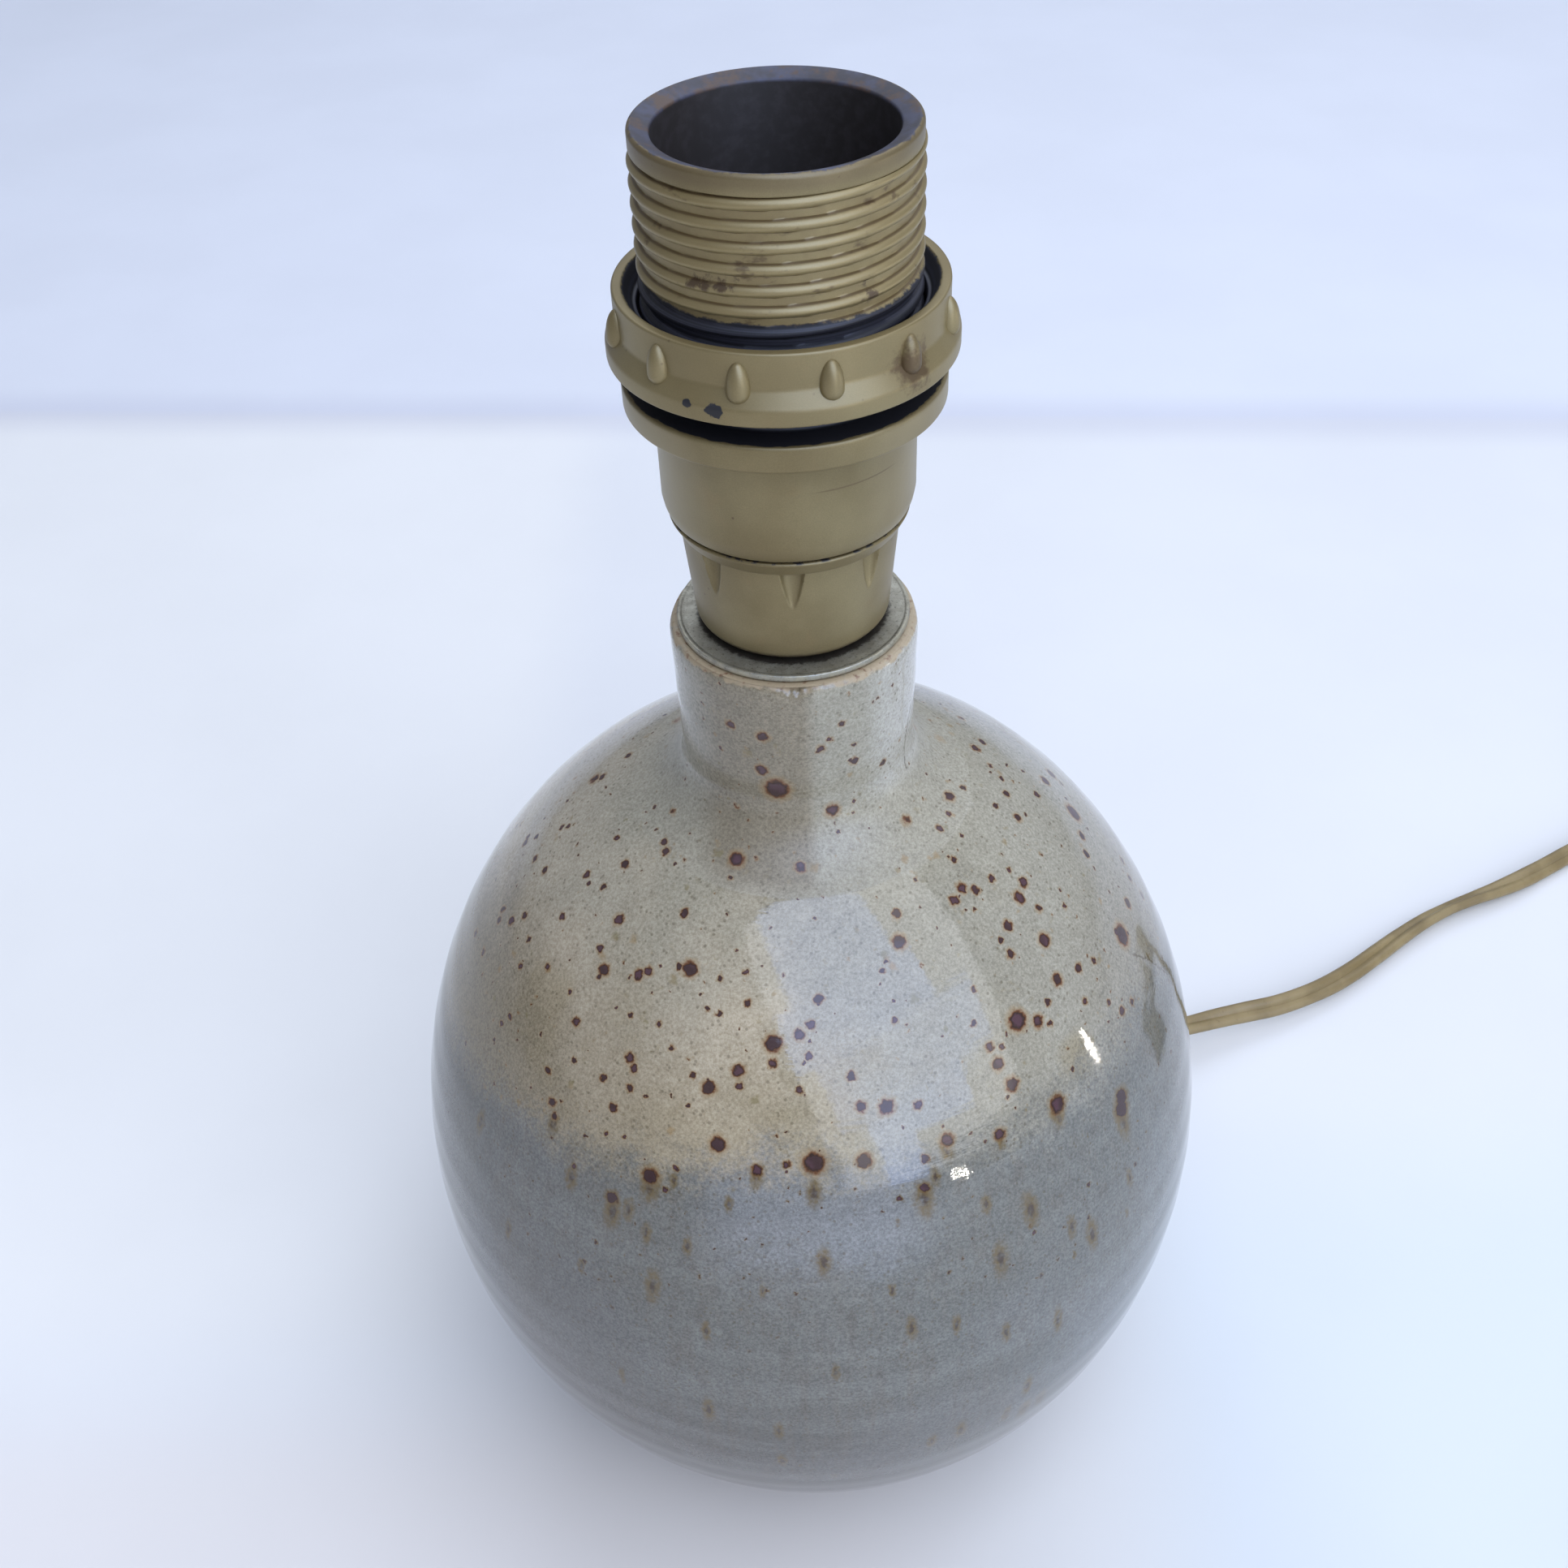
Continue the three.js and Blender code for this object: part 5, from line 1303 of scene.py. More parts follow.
def shell_paint():
    s = Shader("gold paint, shell")
    colour, normal = gold_base(s)
    over_ring, over_thread = height_over(s, ring_top), height_over(s, thread_top)
    over_flange = height_over(s, flange_top)
    smears = nearest(s, s.place, marks_on(smear_pixels, thread_crest_radius))
    # Dirt and painted shade on the thread, painted sheen on the barrel's sides, smears, the moulding line
    # and the rim band
    colour = s.tinted(
        colour,
        shell_tints,
        threaded=s.cover(1, *threaded_zones, over_ring=over_ring, over_thread=over_thread),
        root=s.math("SUBTRACT", s.radius, thread_root_radius / mm),
        below_flange=s.math("MULTIPLY", over_flange, -1),
        smears=s.ragged(smears, *smear_waver),
        seam=s.math("ABSOLUTE", height_over(s, flange_low - seam_drop)),
        band=over_thread,
    )
    edge, over_rim = s.ragged(s.radius, *worn_edge), height_over(s, rim_height)
    rim = s.cover(1, *rim_bare, edge=edge, over_rim=over_rim)
    over_ring, edge = s.ragged(over_ring, *worn_edge), s.ragged(s.radius, *kept_edge)
    kept = s.cover(1, *kept_bare, over_ring=over_ring, over_flange=over_flange, edge=edge)
    base = s.cover(1, *base_bare, over_base=height_over(s, shell_base))
    bare = s.either(rim, s.cover(1, *inner_bare), kept, base)
    dark = s.tinted(bakelite, bakelite_tints)
    # The bare thread that the ring kept from the paint, with painted highlight lines
    dark = s.mix(kept, dark, s.tinted(kept_dark, kept_painted_highlights))
    patches = s.noise(*patches_noise, place=s.vector("ADD", s.place, patches_shift))
    dark = s.mix(s.both(rim, rim_wear), dark, s.tinted(worn_grey, worn_tints, patches=patches))
    return gold_finish(s, s.mix(bare, colour, dark), normal, bare)


def ring_paint():
    s = Shader("gold paint, ring")
    colour, normal = gold_base(s)
    inside = s.cover(1, ring_inside, edge=s.ragged(s.radius, *ring_edge))
    under = s.cover(1, ring_under, edge=s.ragged(height_over(s, ring_low), *ring_edge))
    chips = s.ragged(nearest(s, s.place, marks_on(chip_pixels, ring_band_radius)), *chip_waver)
    bare = s.either(inside, under, s.cover(1, ring_chips, chips=chips))
    patch = s.ragged(nearest(s, s.place, marks_on(worn_pixels, ring_collar_radius)), *patch_waver)
    # Paler paint as a painted highlight, then the worn patch
    colour = s.tinted(colour, ring_highlight_and_wear_tints, patch=patch)
    # Rings of painted reflection on the dish inside the lip
    circles = s.noise(*circle_noise, place=s.node("CombineXYZ", s.radius).outputs[0])
    dark = s.tinted(ring_dark, ring_dark_reflection_tints, circles=circles, inside=inside)
    paint_edge = s.between(bare, *paint_edge_levels)
    normal = s.bump(paint_edge, paint_edge_depth, paint_edge_strength, normal)
    return gold_finish(s, s.mix(bare, colour, dark), normal, bare)


def cap_paint():
    s = Shader("gold paint, cap")
    colour, normal = gold_base(s)
    seam = s.math("ABSOLUTE", height_over(s, parting_height - cap_ledge_drop))
    colour = s.tinted(colour, cap_tints, seam=seam, low=height_over(s, cap_low))
    chips = s.cover(1, *cap_chips, over_parting=height_over(s, parting_height))
    return gold_finish(s, s.mix(chips, colour, bakelite), normal, chips)


# A plain surface's levels of cloud and roughness, its grain, and its specks
tone_levels = (0.35, 0.65)
rough_levels = (0.3, 0.7)
rough_detail = 3
grain_stops = [(0.3, 0.4), (0.7, 0.6)]
grain_strength = 0.5
speck_brown = (52, 46, 38)
speck_zone = ((2.4, 4, 0.75), 0.55, 0.63)
# Both kinds: spread of roughness, cloud, grain, the grain's share and depth, and how metallic
metal_looks = ((0.8, 0.08, 0.1), (0.25, 4, 0.6), (1.4, 3, 0.6), 0.4, 0.02 * mm, 1.0)
moulding_looks = ((0.6, 0.06, 0.08), (0.18, 3, 0.6), (3.5, 3, 0.6), 0.25, 0.015 * mm)


def plain(name, light, dark, rough, spread, cloud, grain, share, bump, metallic=0.0, speckle=0.0):
    """A plain metal or moulding: its two tones, its roughness, and its grain."""
    s = Shader(name)
    colour = s.mix(s.cloud(cloud, *tone_levels), light, dark)
    fine = s.noise(*grain)
    colour = s.grained(colour, share, fine, grain_stops, "OVERLAY")
    if speckle:
        colour = s.tinted(colour, [(speck_brown, speckle, speck_zone)])
    scale, low, high = spread
    roughness = s.cloud((scale, rough_detail), *rough_levels, rough - low, rough + high)
    return s.finish(colour, roughness, metallic, s.bump(fine, bump, grain_strength))


def plain_metal(name, light, dark, rough, speckle):
    return plain(name, light, dark, rough, *metal_looks, speckle)


def plain_moulding(name, light, dark, rough):
    return plain(name, light, dark, rough, *moulding_looks)


# Lampholder
def thread_share(turns):
    """How far a rounded thread stands out, 0 to 1, at a place along its pitch."""
    aside = np.abs(turns % 1.0 - 0.5) / thread_bead_share
    return np.clip(1 - aside * aside, 0, 1) ** thread_bead_power


def threaded_rows(angle, low, high, pitch, root, crest, spacing, phase=0, open_top=False):
    heights = np.linspace(low, high, round((high - low) / spacing))
    to_end = heights - low if open_top else np.minimum(heights - low, high - heights)
    fade = np.clip(to_end * 2 / pitch, 0, 1)
    share = thread_share((heights - low) / pitch - angle / full_turn - phase)
    return np.column_stack([root + (crest - root) * share * fade, heights])


def make_shell():
    thread_low = thread_top - thread_length
    stop_top = rim_height - stop_depth
    stop_low = stop_top - stop_thickness
    shoulder_radius = (parting_radius + 2 * barrel_radius) / 3
    below = [
        (bore_radius, shell_base), (parting_radius, shell_base),
        (shoulder_radius, shell_base + shoulder_rise / 2), (barrel_radius, shell_base + shoulder_rise),
        (barrel_radius, flange_low), (flange_radius, flange_low), (flange_radius, flange_top),
        (thread_root_radius, flange_top), (thread_root_radius, thread_low),
    ]
    above = [
        (thread_root_radius, thread_top), (rim_band_radius, thread_top),
        (rim_band_radius, rim_height - rim_round), (rim_radius, rim_height),
        (bore_radius, rim_height - rim_slope), (bore_radius, stop_top), (stop_bore, stop_top),
        (stop_bore, stop_low), (bore_radius, stop_low), (bore_radius, shell_base),
    ]
    below = below[:1] + soften(below, shell_round, closed=False)[1:-1]
    above = soften(above, shell_fine_round, closed=False)[1:-1]
    thread = (thread_low, thread_top, thread_pitch, thread_root_radius, thread_crest_radius)

    def profile_at(angle):
        rows = threaded_rows(angle, *thread, thread_row_height, thread_phase_share, open_top=True)
        return np.vstack([below, rows, above])

    shell = turned("lampholder_shell", profile_at, holder_columns, shell_paint(), True, 40)
    dress(shell, "gold_paint", "lamp", "holder_shell")


def make_cap():
    dish = cap_low + cap_dish
    ledge = parting_height - cap_ledge_drop
    spigot_radius = bore_radius - spigot_gap
    spigot_inside = spigot_radius - spigot_wall
    foot_middle = (cap_foot_radius - cap_foot_round, dish + cap_foot_round)
    foot = arc(foot_middle, (cap_foot_round, cap_foot_round), -quarter_turn, 0, cap_foot_rows)
    wall = divide([foot[-1], (cap_ledge_radius, ledge)], cap_row_height)[1:]
    boss = [(tube_hole_radius, cap_low), (cap_boss_radius, cap_low), (cap_boss_radius, dish)]
    brim = [
        (cap_ledge_radius, ledge), (cap_ledge_radius + cap_ledge_step, ledge + cap_ledge_rise),
        (parting_radius, parting_height - parting_gap), (parting_radius - cap_edge, parting_height),
        (spigot_radius, parting_height),
    ]
    inside = [
        (spigot_radius, cap_high), (spigot_inside, cap_high), (spigot_inside, ledge),
        (cap_foot_radius - cap_wall, dish + cap_floor), (tube_hole_radius, dish + cap_floor),
    ]
    outline = np.array(boss + foot + wall + soften(brim, cap_round, closed=False)[1:] + inside)
    on_wall = slice(len(boss) + len(foot), len(boss) + len(foot) + len(wall))
    rise = (outline[on_wall, 1] - (ledge - flute_length)) / flute_length
    width = np.maximum(np.clip(rise, 0, 1) ** flute_width_power * flute_half_width, flute_least_width)
    depth = flute_depth * np.clip(rise, 0, 1) ** flute_depth_power * (rise > 0)
    step = full_turn / flute_count

    def profile_at(angle):
        shape = outline.copy()
        aside = abs((angle + quarter_turn + step / 2) % step - step / 2) * cap_ledge_radius
        shape[on_wall, 0] -= depth * np.sqrt(np.clip(1 - (aside / width) ** 2, 0, 1))
        return shape

    cap = turned("lampholder_cap", profile_at, 3 * holder_columns, cap_paint(), True, 45)
    dress(cap, "gold_paint", "lamp", "holder_cap")


def make_ring():
    skirt = ring_low + ring_band_height
    dish = ring_top - ring_dish_depth
    outline = [
        (ring_bore_radius, ring_low), (ring_band_radius, ring_low), (ring_band_radius, skirt),
        (ring_collar_radius, skirt + ring_skirt_height), (ring_collar_radius, ring_top),
        (ring_collar_radius - ring_lip_width, ring_top), (ring_dish_radius, dish), (ring_bore_radius, dish),
    ]
    gold = ring_paint()
    ring = turned("shade_ring_painted", soften(outline, ring_round), holder_columns, gold, True, 45)
    join(ring, [make_rib(i / rib_count * full_turn + rib_turn, skirt, gold) for i in range(rib_count)])
    dress(ring, "gold_paint", "ring", "shade_ring")


def make_rib(angle, foot, material):
    """A bullet shaped grip rib, standing on the band's slope against the collar."""
    rows = [(0, foot)]
    for t in np.linspace(0, 1, rib_rows):
        swell = math.sin(min(t / rib_swell_share, 1) * quarter_turn) ** rib_swell_power
        taper = max(t - rib_swell_share, 0) / (1 - rib_swell_share)
        narrowing = (1 - taper**rib_taper_power) ** rib_end_power
        rows.append((swell * narrowing, foot + t * rib_height))
    rib = turned("rib", rows, rib_columns, material, False, 60)
    stretch = Matrix.Diagonal((rib_reach, rib_width / 2, 1, 1))
    out = Matrix.Translation((ring_collar_radius - rib_sink, 0, 0))
    rib.data.transform(Matrix.Rotation(angle, 4, "Z") @ out @ stretch)
    return rib


def join(main, others):
    work = bmesh.new()
    work.from_mesh(main.data)
    for other in others:
        work.from_mesh(other.data)
        bpy.data.objects.remove(other)
    work.to_mesh(main.data)
    work.free()
    smooth(main.data, 45)


def make_screw_shell():
    low, high = (corner.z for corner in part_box("screw_shell"))
    outside = screw_root + screw_wall
    thread = (low + screw_wall, high - screw_lip, screw_pitch, screw_root, screw_crest)

    def profile_at(angle):
        inner = threaded_rows(angle, *thread, screw_row_height)
        flange = [(screw_flange_bore, low), (outside, low)]
        lip = [(outside, high), (screw_root, high)]
        foot = [(screw_flange_bore, low + screw_wall)]
        return np.vstack([flange, inner + np.array([screw_wall, 0]), lip, inner[::-1], foot])

    metal = plain_metal("screw shell metal", (168, 150, 104), (120, 98, 58), 0.34, 0.4)
    shell = turned("screw_shell_metal", profile_at, screw_columns, metal, True, 50)
    dress(shell, "bright_brass", "lamp", "screw_shell")


disc_pale = (160, 158, 146)
disc_waver = (0.7, 0.8, 4, 0.7)
disc_bumps = [((1.8, 4, 0.7), 0.04, 0.6)]
disc_rough = ((0.9, 3), 0.3, 0.7, 0.32, 0.5)
disc_metallic = 0.6
disc_tints = [
    ((140, 137, 125), 1, ((0.3, 4, 0.6), 0.35, 0.65)),
    ((72, 66, 56), 0.55, ((2.2, 4, 0.75), 0.54, 0.64)),
    # Painted shadow: a dark ring on the disc round the cap's foot
    ((42, 34, 30), 0.85, ("dirt", 0.3, -0.5)),
    ((176, 170, 148), 0.6, ("edge", -0.45, -0.15), ((0.5, 3), 0.4, 0.6)),
]


def disc_material(radius):
    s = Shader("aged brass disc")
    # How far from the cap's foot, for the painted shadow round it
    dirt = s.math("SUBTRACT", s.ragged(s.radius, *disc_waver), cap_foot_radius / mm)
    edge = s.math("SUBTRACT", s.radius, radius / mm)
    colour = s.tinted(disc_pale, disc_tints, dirt=dirt, edge=edge)
    return s.finish(colour, s.cloud(*disc_rough), disc_metallic, s.bumps(disc_bumps))


def make_disc():
    low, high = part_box("neck_disc")
    radius = high.x
    top = high.z - disc_step
    outline = [
        (tube_hole_radius, low.z), (radius, low.z), (radius, high.z), (radius - disc_edge, high.z),
        (radius - disc_edge - disc_slope, top), (tube_hole_radius, top),
    ]
    outline = soften(outline, disc_round)
    disc = turned("brass_disc", outline, holder_columns, disc_material(radius), True, 50)
    dress(disc, "aged_brass", "lamp", "neck_disc")


# Switch and plug
def outline_prism(name, outline, low, high, edge, material, sharp_degrees=35):
    """An upright prism with rounded edges."""
    count = len(outline)
    vertices = [(x, y, low) for x, y in outline] + [(x, y, high) for x, y in outline]
    faces = [tuple(range(count))[::-1], tuple(range(count, 2 * count))]
    for i in range(count):
        j = (i + 1) % count
        faces.append((i, j, count + j, count + i))
    prism = make_object(name, vertices, faces, material, 35)
    if edge:
        rounding = prism.modifiers.new("edge", "BEVEL")
        rounding.width = edge
        rounding.segments = edge_segments
        rounding.limit_method = "ANGLE"
        rounding.angle_limit = edge_least_angle
        apply_modifiers(prism, sharp_degrees)
    return prism


def apply_modifiers(piece, sharp_degrees):
    bpy.context.view_layer.update()
    shown = piece.evaluated_get(bpy.context.evaluated_depsgraph_get())
    mesh = bpy.data.meshes.new_from_object(shown)
    piece.modifiers.clear()
    piece.data = mesh
    smooth(mesh, sharp_degrees)


def cut_with(piece, cutter):
    cut = piece.modifiers.new("cut", "BOOLEAN")
    cut.object = cutter
    cut.solver = "EXACT"
    apply_modifiers(piece, 35)
    bpy.data.objects.remove(cutter)


def rectangle(length, width):
    x, y = length / 2, width / 2
    return [(-x, -y), (x, -y), (x, y), (-x, y)]


def switch_half(name, node, material):
    low, high = (corner.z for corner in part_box(node))
    x, y = switch_length / 2, switch_width / 2
    taper = x - switch_taper
    corners = [
        (-taper, -y), (taper, -y), (x, -switch_nose), (x, switch_nose),
        (taper, y), (-taper, y), (-x, switch_nose), (-x, -switch_nose),
    ]
    return outline_prism(name, soften(corners, switch_corner, 5), low, high, switch_edge, material)


def make_switch():
    gold = plain_moulding("gold moulding", (146, 134, 100), (130, 116, 80), 0.42)
    dark = plain_moulding("dark moulding", (44, 38, 34), (34, 30, 28), 0.38)
    base_low, base_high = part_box("switch_base")
    middle = (base_low + base_high) / 2
    place = Matrix.Translation((middle.x, middle.y, 0)) @ Matrix.Rotation(switch_heading, 4, "Z")
    base = switch_half("switch_lower_half", "switch_base", gold)
    cover = switch_half("switch_upper_half", "switch_cover", gold)
    opening = soften(rectangle(window_length, window_width), window_corner)
    window_low = rocker_pivot_height - window_depth
    window_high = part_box("switch_cover")[1].z + window_overrun
    cut_with(cover, outline_prism("window", opening, window_low, window_high, 0, dark))
    rocker = make_rocker(dark)
    for piece, slot, body, node in (
        (base, "gold_moulding", "lamp", "switch_base"),
        (cover, "gold_moulding", "lamp", "switch_cover"),
        (rocker, "dark_moulding", "rocker", "switch_rocker"),
    ):
        piece.data.transform(place)
        dress(piece, slot, body, node)
    return base, cover, rocker, gold, dark


def make_rocker(material):
    half, bottom = rocker_length / 2, rocker_bottom_length / 2
    across = np.linspace(half, -half, rocker_rows)
    top = [(x, rocker_rise - rocker_dip * (1 - (x / half) ** 2)) for x in across]
    outline = [(-bottom, -rocker_drop), (bottom, -rocker_drop), (half, 0)] + top + [(-half, 0)]
    side = rocker_width / 2
    rocker = outline_prism("switch_rocker_cap", outline, -side, side, rocker_edge, material, 40)
    tilt = Matrix.Rotation(rocker_tilt, 4, "Y") @ Matrix.Rotation(quarter_turn, 4, "X")
    rocker.data.transform(Matrix.Translation((0, 0, rocker_pivot_height)) @ tilt)
    return rocker


def make_plug(moulding):
    low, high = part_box("plug_body")
    middle = (low + high) / 2
    width, height = high.y - low.y, high.z - low.z
    body_rear = high.x - plug_nose_length
    outline = [(body_rear, -plug_rear_width / 2)]
    outline += [(body_rear - plug_body_length * x, -width / 2 * y) for x, y in plug_side_shares]
    outline.append((low.x, -width / 2))
    outline += [(x, -side) for x, side in reversed(outline)]
    outline = [(x, middle.y + side) for x, side in soften(outline, plug_corner, 6)]
    body = outline_prism("plug_moulding", outline, 0, height, plug_edge, moulding, 30)
    nose = make_nose((high.x, middle.y, height / 2), high.x - body_rear + nose_sink, moulding)
    grips = [
        make_grip((body_rear - share * plug_body_length, middle.y, 0), width, height, moulding)
        for share in grip_shares
    ]
    join(body, [nose] + grips)
    dress(body, "gold_moulding", "lamp", "plug_body")
    return body


def make_nose(end, length, material):
    """Ribbed strain relief where the flex enters the plug."""
    rows = [(0, 0)]
    for share in np.linspace(0, 1, nose_ribs * nose_rows_per_rib + 1):
        groove = nose_groove * (0.5 - 0.5 * math.cos(share * nose_ribs * full_turn))
        rows.append((nose_radius + nose_flare * share - groove, share * length))
    nose = turned("nose", rows + [(0, length)], nose_columns, material, False, 50)
    nose.data.transform(Matrix.Translation(end) @ Matrix.Rotation(-quarter_turn, 4, "Y"))
    return nose


def make_grip(place, width, height, material):
    """A shallow finger ridge across the plug's top."""
    outline = soften(rectangle(grip_length, width * grip_width_share), grip_corner, 3)
    low, high = height - grip_sink, height - grip_top_gap
    grip = outline_prism("grip", outline, low, high, grip_edge, material)
    grip.data.transform(Matrix.Translation(place))
    return grip


pin_pale = (190, 178, 140)
pin_tints = [((168, 150, 104), 1, ((0.3, 3), 0.35, 0.65))]
pin_bumps = [((2.2, 3, 0.6, (0.08, 1, 1)), 0.015, 0.5)]
pin_rough = 0.3
sleeve_brown = (50, 44, 36)
sleeve_rough = 0.45
sleeve_blend = 0.1


def pin_material():
    s = Shader("plug pin")
    sleeve_end = (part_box("plug_body")[0].x - pin_sleeve_length) / mm
    sleeve = s.between(s.x, sleeve_end - sleeve_blend, sleeve_end + sleeve_blend)
    colour = s.mix(sleeve, s.tinted(pin_pale, pin_tints), sleeve_brown)
    rough, metallic = s.mix(sleeve, pin_rough, sleeve_rough), s.between(sleeve, 0, 1, 1, 0)
    return s.finish(colour, rough, metallic, s.bumps(pin_bumps))


def make_pins():
    material = pin_material()
    sleeve_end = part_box("plug_body")[0].x - pin_sleeve_length
    bare_radius = pin_radius - pin_step
    pins = []
    for node in ("plug_pin_a", "plug_pin_b"):
        low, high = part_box(node)
        middle = (low + high) / 2
        length, neck = high.x - low.x, high.x - sleeve_end
        tip_centre = (bare_radius - pin_round, length - pin_round)
        tip = arc(tip_centre, (pin_round, pin_round), 0, quarter_turn, pin_round_rows)
        rows = [(0, 0), (pin_radius, 0), (pin_radius, neck), (bare_radius, neck + pin_step_length)]
        pin = turned(node + "_metal", rows + tip + [(0, length)], pin_columns, material, False, 40)
        lay = Matrix.Rotation(-quarter_turn, 4, "Y")
        pin.data.transform(Matrix.Translation((high.x, middle.y, middle.z)) @ lay)
        dress(pin, "bright_brass", "lamp", node)
        pins.append(pin)
    return pins


def make_tie():
    """A flat ribbon tie round the bundle, with rounded bends."""
    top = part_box("coil_tie")[1].z
    out = Vector((math.cos(tie_angle), math.sin(tie_angle), 0))
    across = Vector((-math.sin(tie_angle), math.cos(tie_angle), 0))
    inner_turn = coil_radius - coil_turn_spacing * (coil_layer_turns + coil_climb_turns / 2)
    half = tie_thickness / 2
    side = flex_thickness / 2 + tie_clearance + half
    near, far = inner_turn - side, coil_radius + side
    loop = soften([(near, half), (far, half), (far, top - half), (near, top - half)], tie_bend, 6)
    section = soften(rectangle(tie_thickness, tie_width), tie_edge, 3)
    centre = Vector((coil_x, coil_y, 0))
    vertices = []
    for i, (r, z) in enumerate(loop):
        run = (Vector(loop[(i + 1) % len(loop)]) - Vector(loop[i - 1])).normalized()
        for u, v in section:
            place = Vector((r, z)) + Vector((run.y, -run.x)) * u
            vertices.append(centre + out * place.x + across * v + Vector((0, 0, place.y)))
    faces = grid_faces(len(loop), len(section), True, True)
    tie = make_object("tie_ribbon", vertices, faces, tie_material(), 45)
    dress(tie, "tie_ribbon", "lamp", "coil_tie")
    return tie


weave_noise = (3, 2, 0.5, (1, 1, 3))
weave_levels = (0.4, 0.6)
weave_depth = 0.03 * mm
weave_strength = 0.6
tie_black = (30, 30, 32)
tie_grey = (48, 46, 46)
tie_rough = 0.6


def tie_material():
    s = Shader("tie ribbon")
    weave = s.noise(*weave_noise)
    colour = s.mix(s.between(weave, *weave_levels), tie_black, tie_grey)
    return s.finish(colour, tie_rough, normal=s.bump(weave, weave_depth, weave_strength))


def make_bush():
    """Tapered strain relief round the flex, with soft rings near its tip."""
    wall = body_radius * math.sqrt(1 - ((exit_height - side_centre) / body_half_height) ** 2)
    inner, shoulder = wall - bush_depth, wall + bush_shoulder
    barrel = cord_hole_radius - bush_clearance
    slot_half = flex_width / 2 + bush_clearance
    end = Vector(lead_route[0][:2]).length * mm - bush_end_gap
    rows = [(slot_half, inner), (barrel, inner), (barrel, shoulder)]
    for share in np.linspace(*bush_ring_shares, bush_rows):
        groove = bush_groove * (0.5 - 0.5 * math.cos(share * bush_rings * full_turn))
        rows.append((barrel + (bush_tip - barrel) * share - groove, shoulder + (end - shoulder) * share))
    rows += [(bush_tip - bush_edge, end - bush_nose), (bush_tip - 3 * bush_edge, end), (slot_half, end)]
    material = plain_moulding("smoky bush", (96, 82, 56), (76, 62, 42), 0.4)
    bush = turned("cord_bush_ribbed", rows, bush_columns, material, True, 40)
    lay = Matrix.Rotation(exit_angle, 4, "Z") @ Matrix.Rotation(quarter_turn, 4, "Y")
    bush.data.transform(Matrix.Translation((0, 0, exit_height)) @ lay)
    dress(bush, "smoky_bush", "lamp", "cord_bush")


def dress_small_nodes(dark):
    by_slot = {
        "zinc_steel": plain_metal("zinc steel", (150, 150, 146), (118, 118, 116), 0.38, 0.3),
        "bright_brass": plain_metal("bright brass", (196, 168, 104), (150, 122, 66), 0.34, 0.25),
        "black_rubber": plain_moulding("black rubber", (38, 36, 36), (26, 26, 26), 0.7),
        "dark_moulding": dark,
        "wire_cover_brown": plain_moulding("brown wire cover", (96, 58, 36), (80, 46, 30), 0.45),
        "wire_cover_blue": plain_moulding("blue wire cover", (58, 88, 150), (48, 74, 130), 0.45),
        "gold_flex": bpy.data.materials["gold flex"],
    }
    for part in frame["record"]["subparts"]:
        material = by_slot.get(part["material_slot"])
        if material is not None:
            materials = frame["nodes"][part["node"]].data.materials
            materials.clear()
            materials.append(material)


# Floor, backdrop and light
floor_mottle = ((0.01, 3), 0.3, 0.7, 0.97, 1)
floor_specular = 0.2
floor_rough = 0.75
floor_white = (229, 233, 241)
floor_tints = [
    ((225, 231, 245), 1, ("past_fold", -2, 6)),
    ((229, 229, 234), 1, ("y", -15, -55), ("x", 60, -10)),
    # Painted shade: cooler and darker on the near right of the floor
    ((220, 229, 241), 1, ("x", 50, 90), ("y", 60, -10)),
    # Painted light: lighter on the floor to the left of the body
    ((236, 239, 244), 1, ("x", -60, -100), ("y", -40, 10), ("past_fold", 2, -8)),
    # Painted shadow: a faint dark line along the fold
    ((192, 196, 218), 0.35, ("past_fold", -22, 0), ("past_fold", 26, 2)),
]


def make_floor():
    fold_left, fold_right = (on_ground(*pixel) for pixel in fold_pixels)
    fold = (fold_right - fold_left).normalized()
    s = Shader("floor and backdrop")
    offset = s.vector("SUBTRACT", s.place, tuple(fold_left / mm))
    past_fold = s.vector("DOT_PRODUCT", offset, (-fold.y, fold.x, 0))
    colour = s.tinted(floor_white, floor_tints, past_fold=past_fold)
    mottle = s.cloud(*floor_mottle)
    grey = s.node("CombineColor", mottle, mottle, mottle).outputs[0]
    settings = {"Specular IOR Level": floor_specular}
    material = s.finish(s.mix(1, colour, grey, "MULTIPLY"), floor_rough, **settings)
    corners = [(x, y, 0) for x, y in rectangle(2 * floor_half, 2 * floor_half)]
    make_object("floor", corners, [(0, 1, 2, 3)], material)


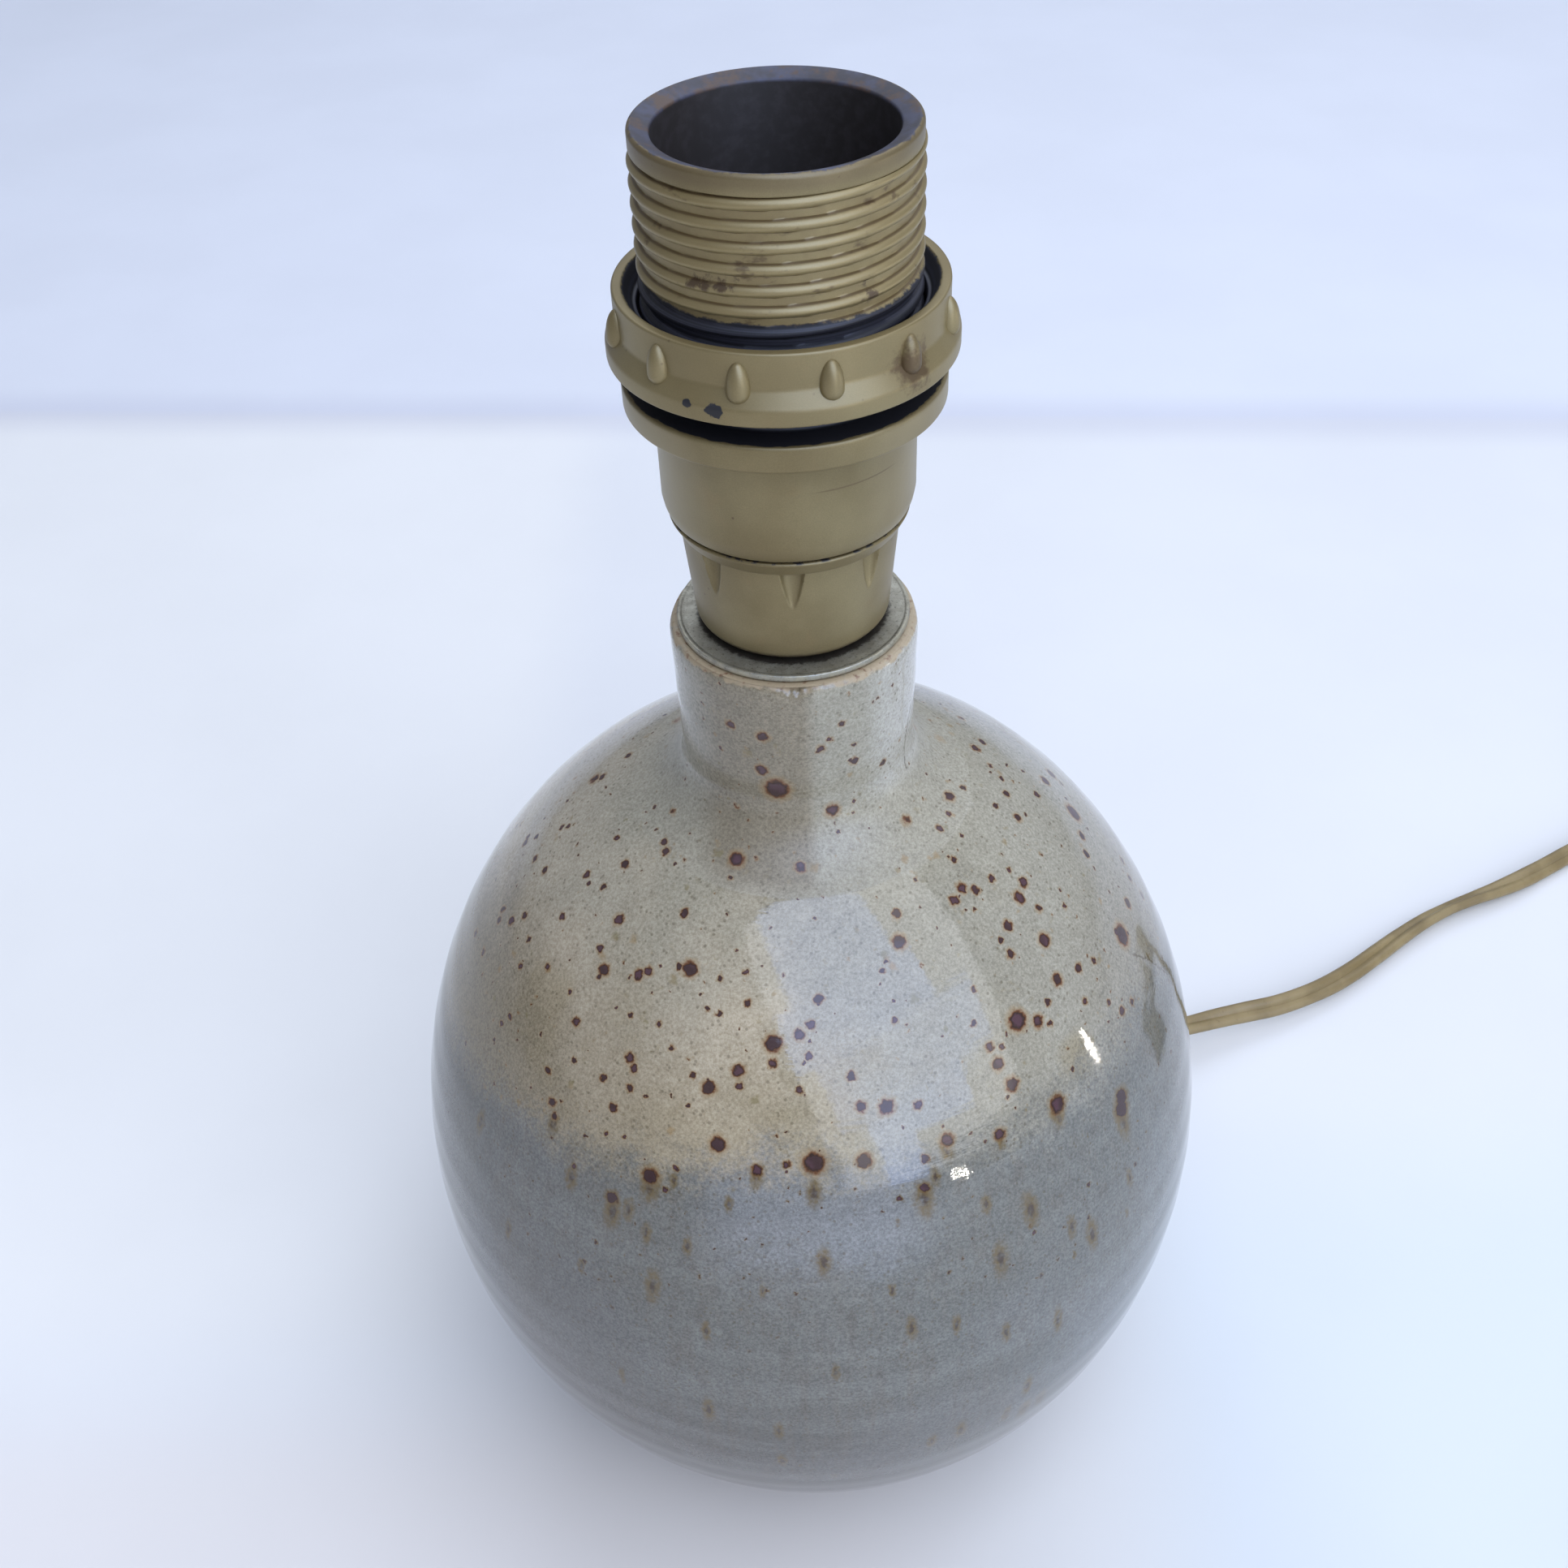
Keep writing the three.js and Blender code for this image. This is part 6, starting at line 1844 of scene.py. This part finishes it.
def make_world():
    world = bpy.data.worlds.new("soft daylight")
    bpy.context.scene.world = world
    world.use_nodes = True
    background = world.node_tree.nodes["Background"]
    background.inputs["Color"].default_value = shader_colour(world_colour)
    background.inputs["Strength"].default_value = world_strength


def make_area_light(name, aim, distance, size, radiance, colour, diffuse=True, aside=(0, 0)):
    """A rectangular light square to a line from the body.

    aside moves it in its own plane, as shares of its distance.
    """
    a, e = (math.radians(angle) for angle in aim)
    outward = Vector((math.sin(a) * math.cos(e), -math.cos(a) * math.cos(e), math.sin(e)))
    across = Vector((math.cos(a), math.sin(a), 0))
    upward = outward.cross(across)
    data = bpy.data.lights.new(name, "AREA")
    data.shape = "RECTANGLE"
    data.size, data.size_y = size
    data.energy = radiance * size[0] * size[1] * math.pi
    data.color = srgb(*colour)
    light = bpy.data.objects.new(name, data)
    away = outward + across * aside[0] + upward * aside[1]
    light.location = Vector((0, 0, side_centre)) + distance * away
    light.rotation_mode = "QUATERNION"
    light.rotation_quaternion = Matrix((across, upward, outward)).transposed().to_quaternion()
    light.visible_diffuse = diffuse
    bpy.context.scene.collection.objects.link(light)


def make_lights():
    make_area_light("window", window_aim, window_distance, window_size, window_radiance, window_colour)
    for i, (left, right, low, high, radiance) in enumerate(window_panes):
        size = ((right - left) * pane_distance, (high - low) * pane_distance)
        aside = ((left + right) / 2, (low + high) / 2)
        name = f"pane_{i + 1}"
        make_area_light(name, window_aim, pane_distance, size, radiance, pane_colour, False, aside)
    make_area_light("sky_behind", sky_aim, sky_distance, sky_size, sky_radiance, sky_colour)
    for name, *aim, width, height in glints:
        for i, (across, upward) in enumerate(sparkle_shares):
            make_area_light(
                f"{name}_{i + 1}", aim, glint_distance, sparkle_size, sparkle_radiance, sparkle_colour,
                False, (across * width / glint_distance, upward * height / glint_distance),
            )


flex, flex_places = make_flex()
make_body()
make_disc()
make_cap()
make_shell()
make_ring()
make_screw_shell()
make_bush()
switch_base, switch_cover, switch_rocker, gold_moulding, dark_moulding = make_switch()
plug = make_plug(gold_moulding)
pins = make_pins()
tie = make_tie()
dress_small_nodes(dark_moulding)

make_floor()
make_world()
make_lights()
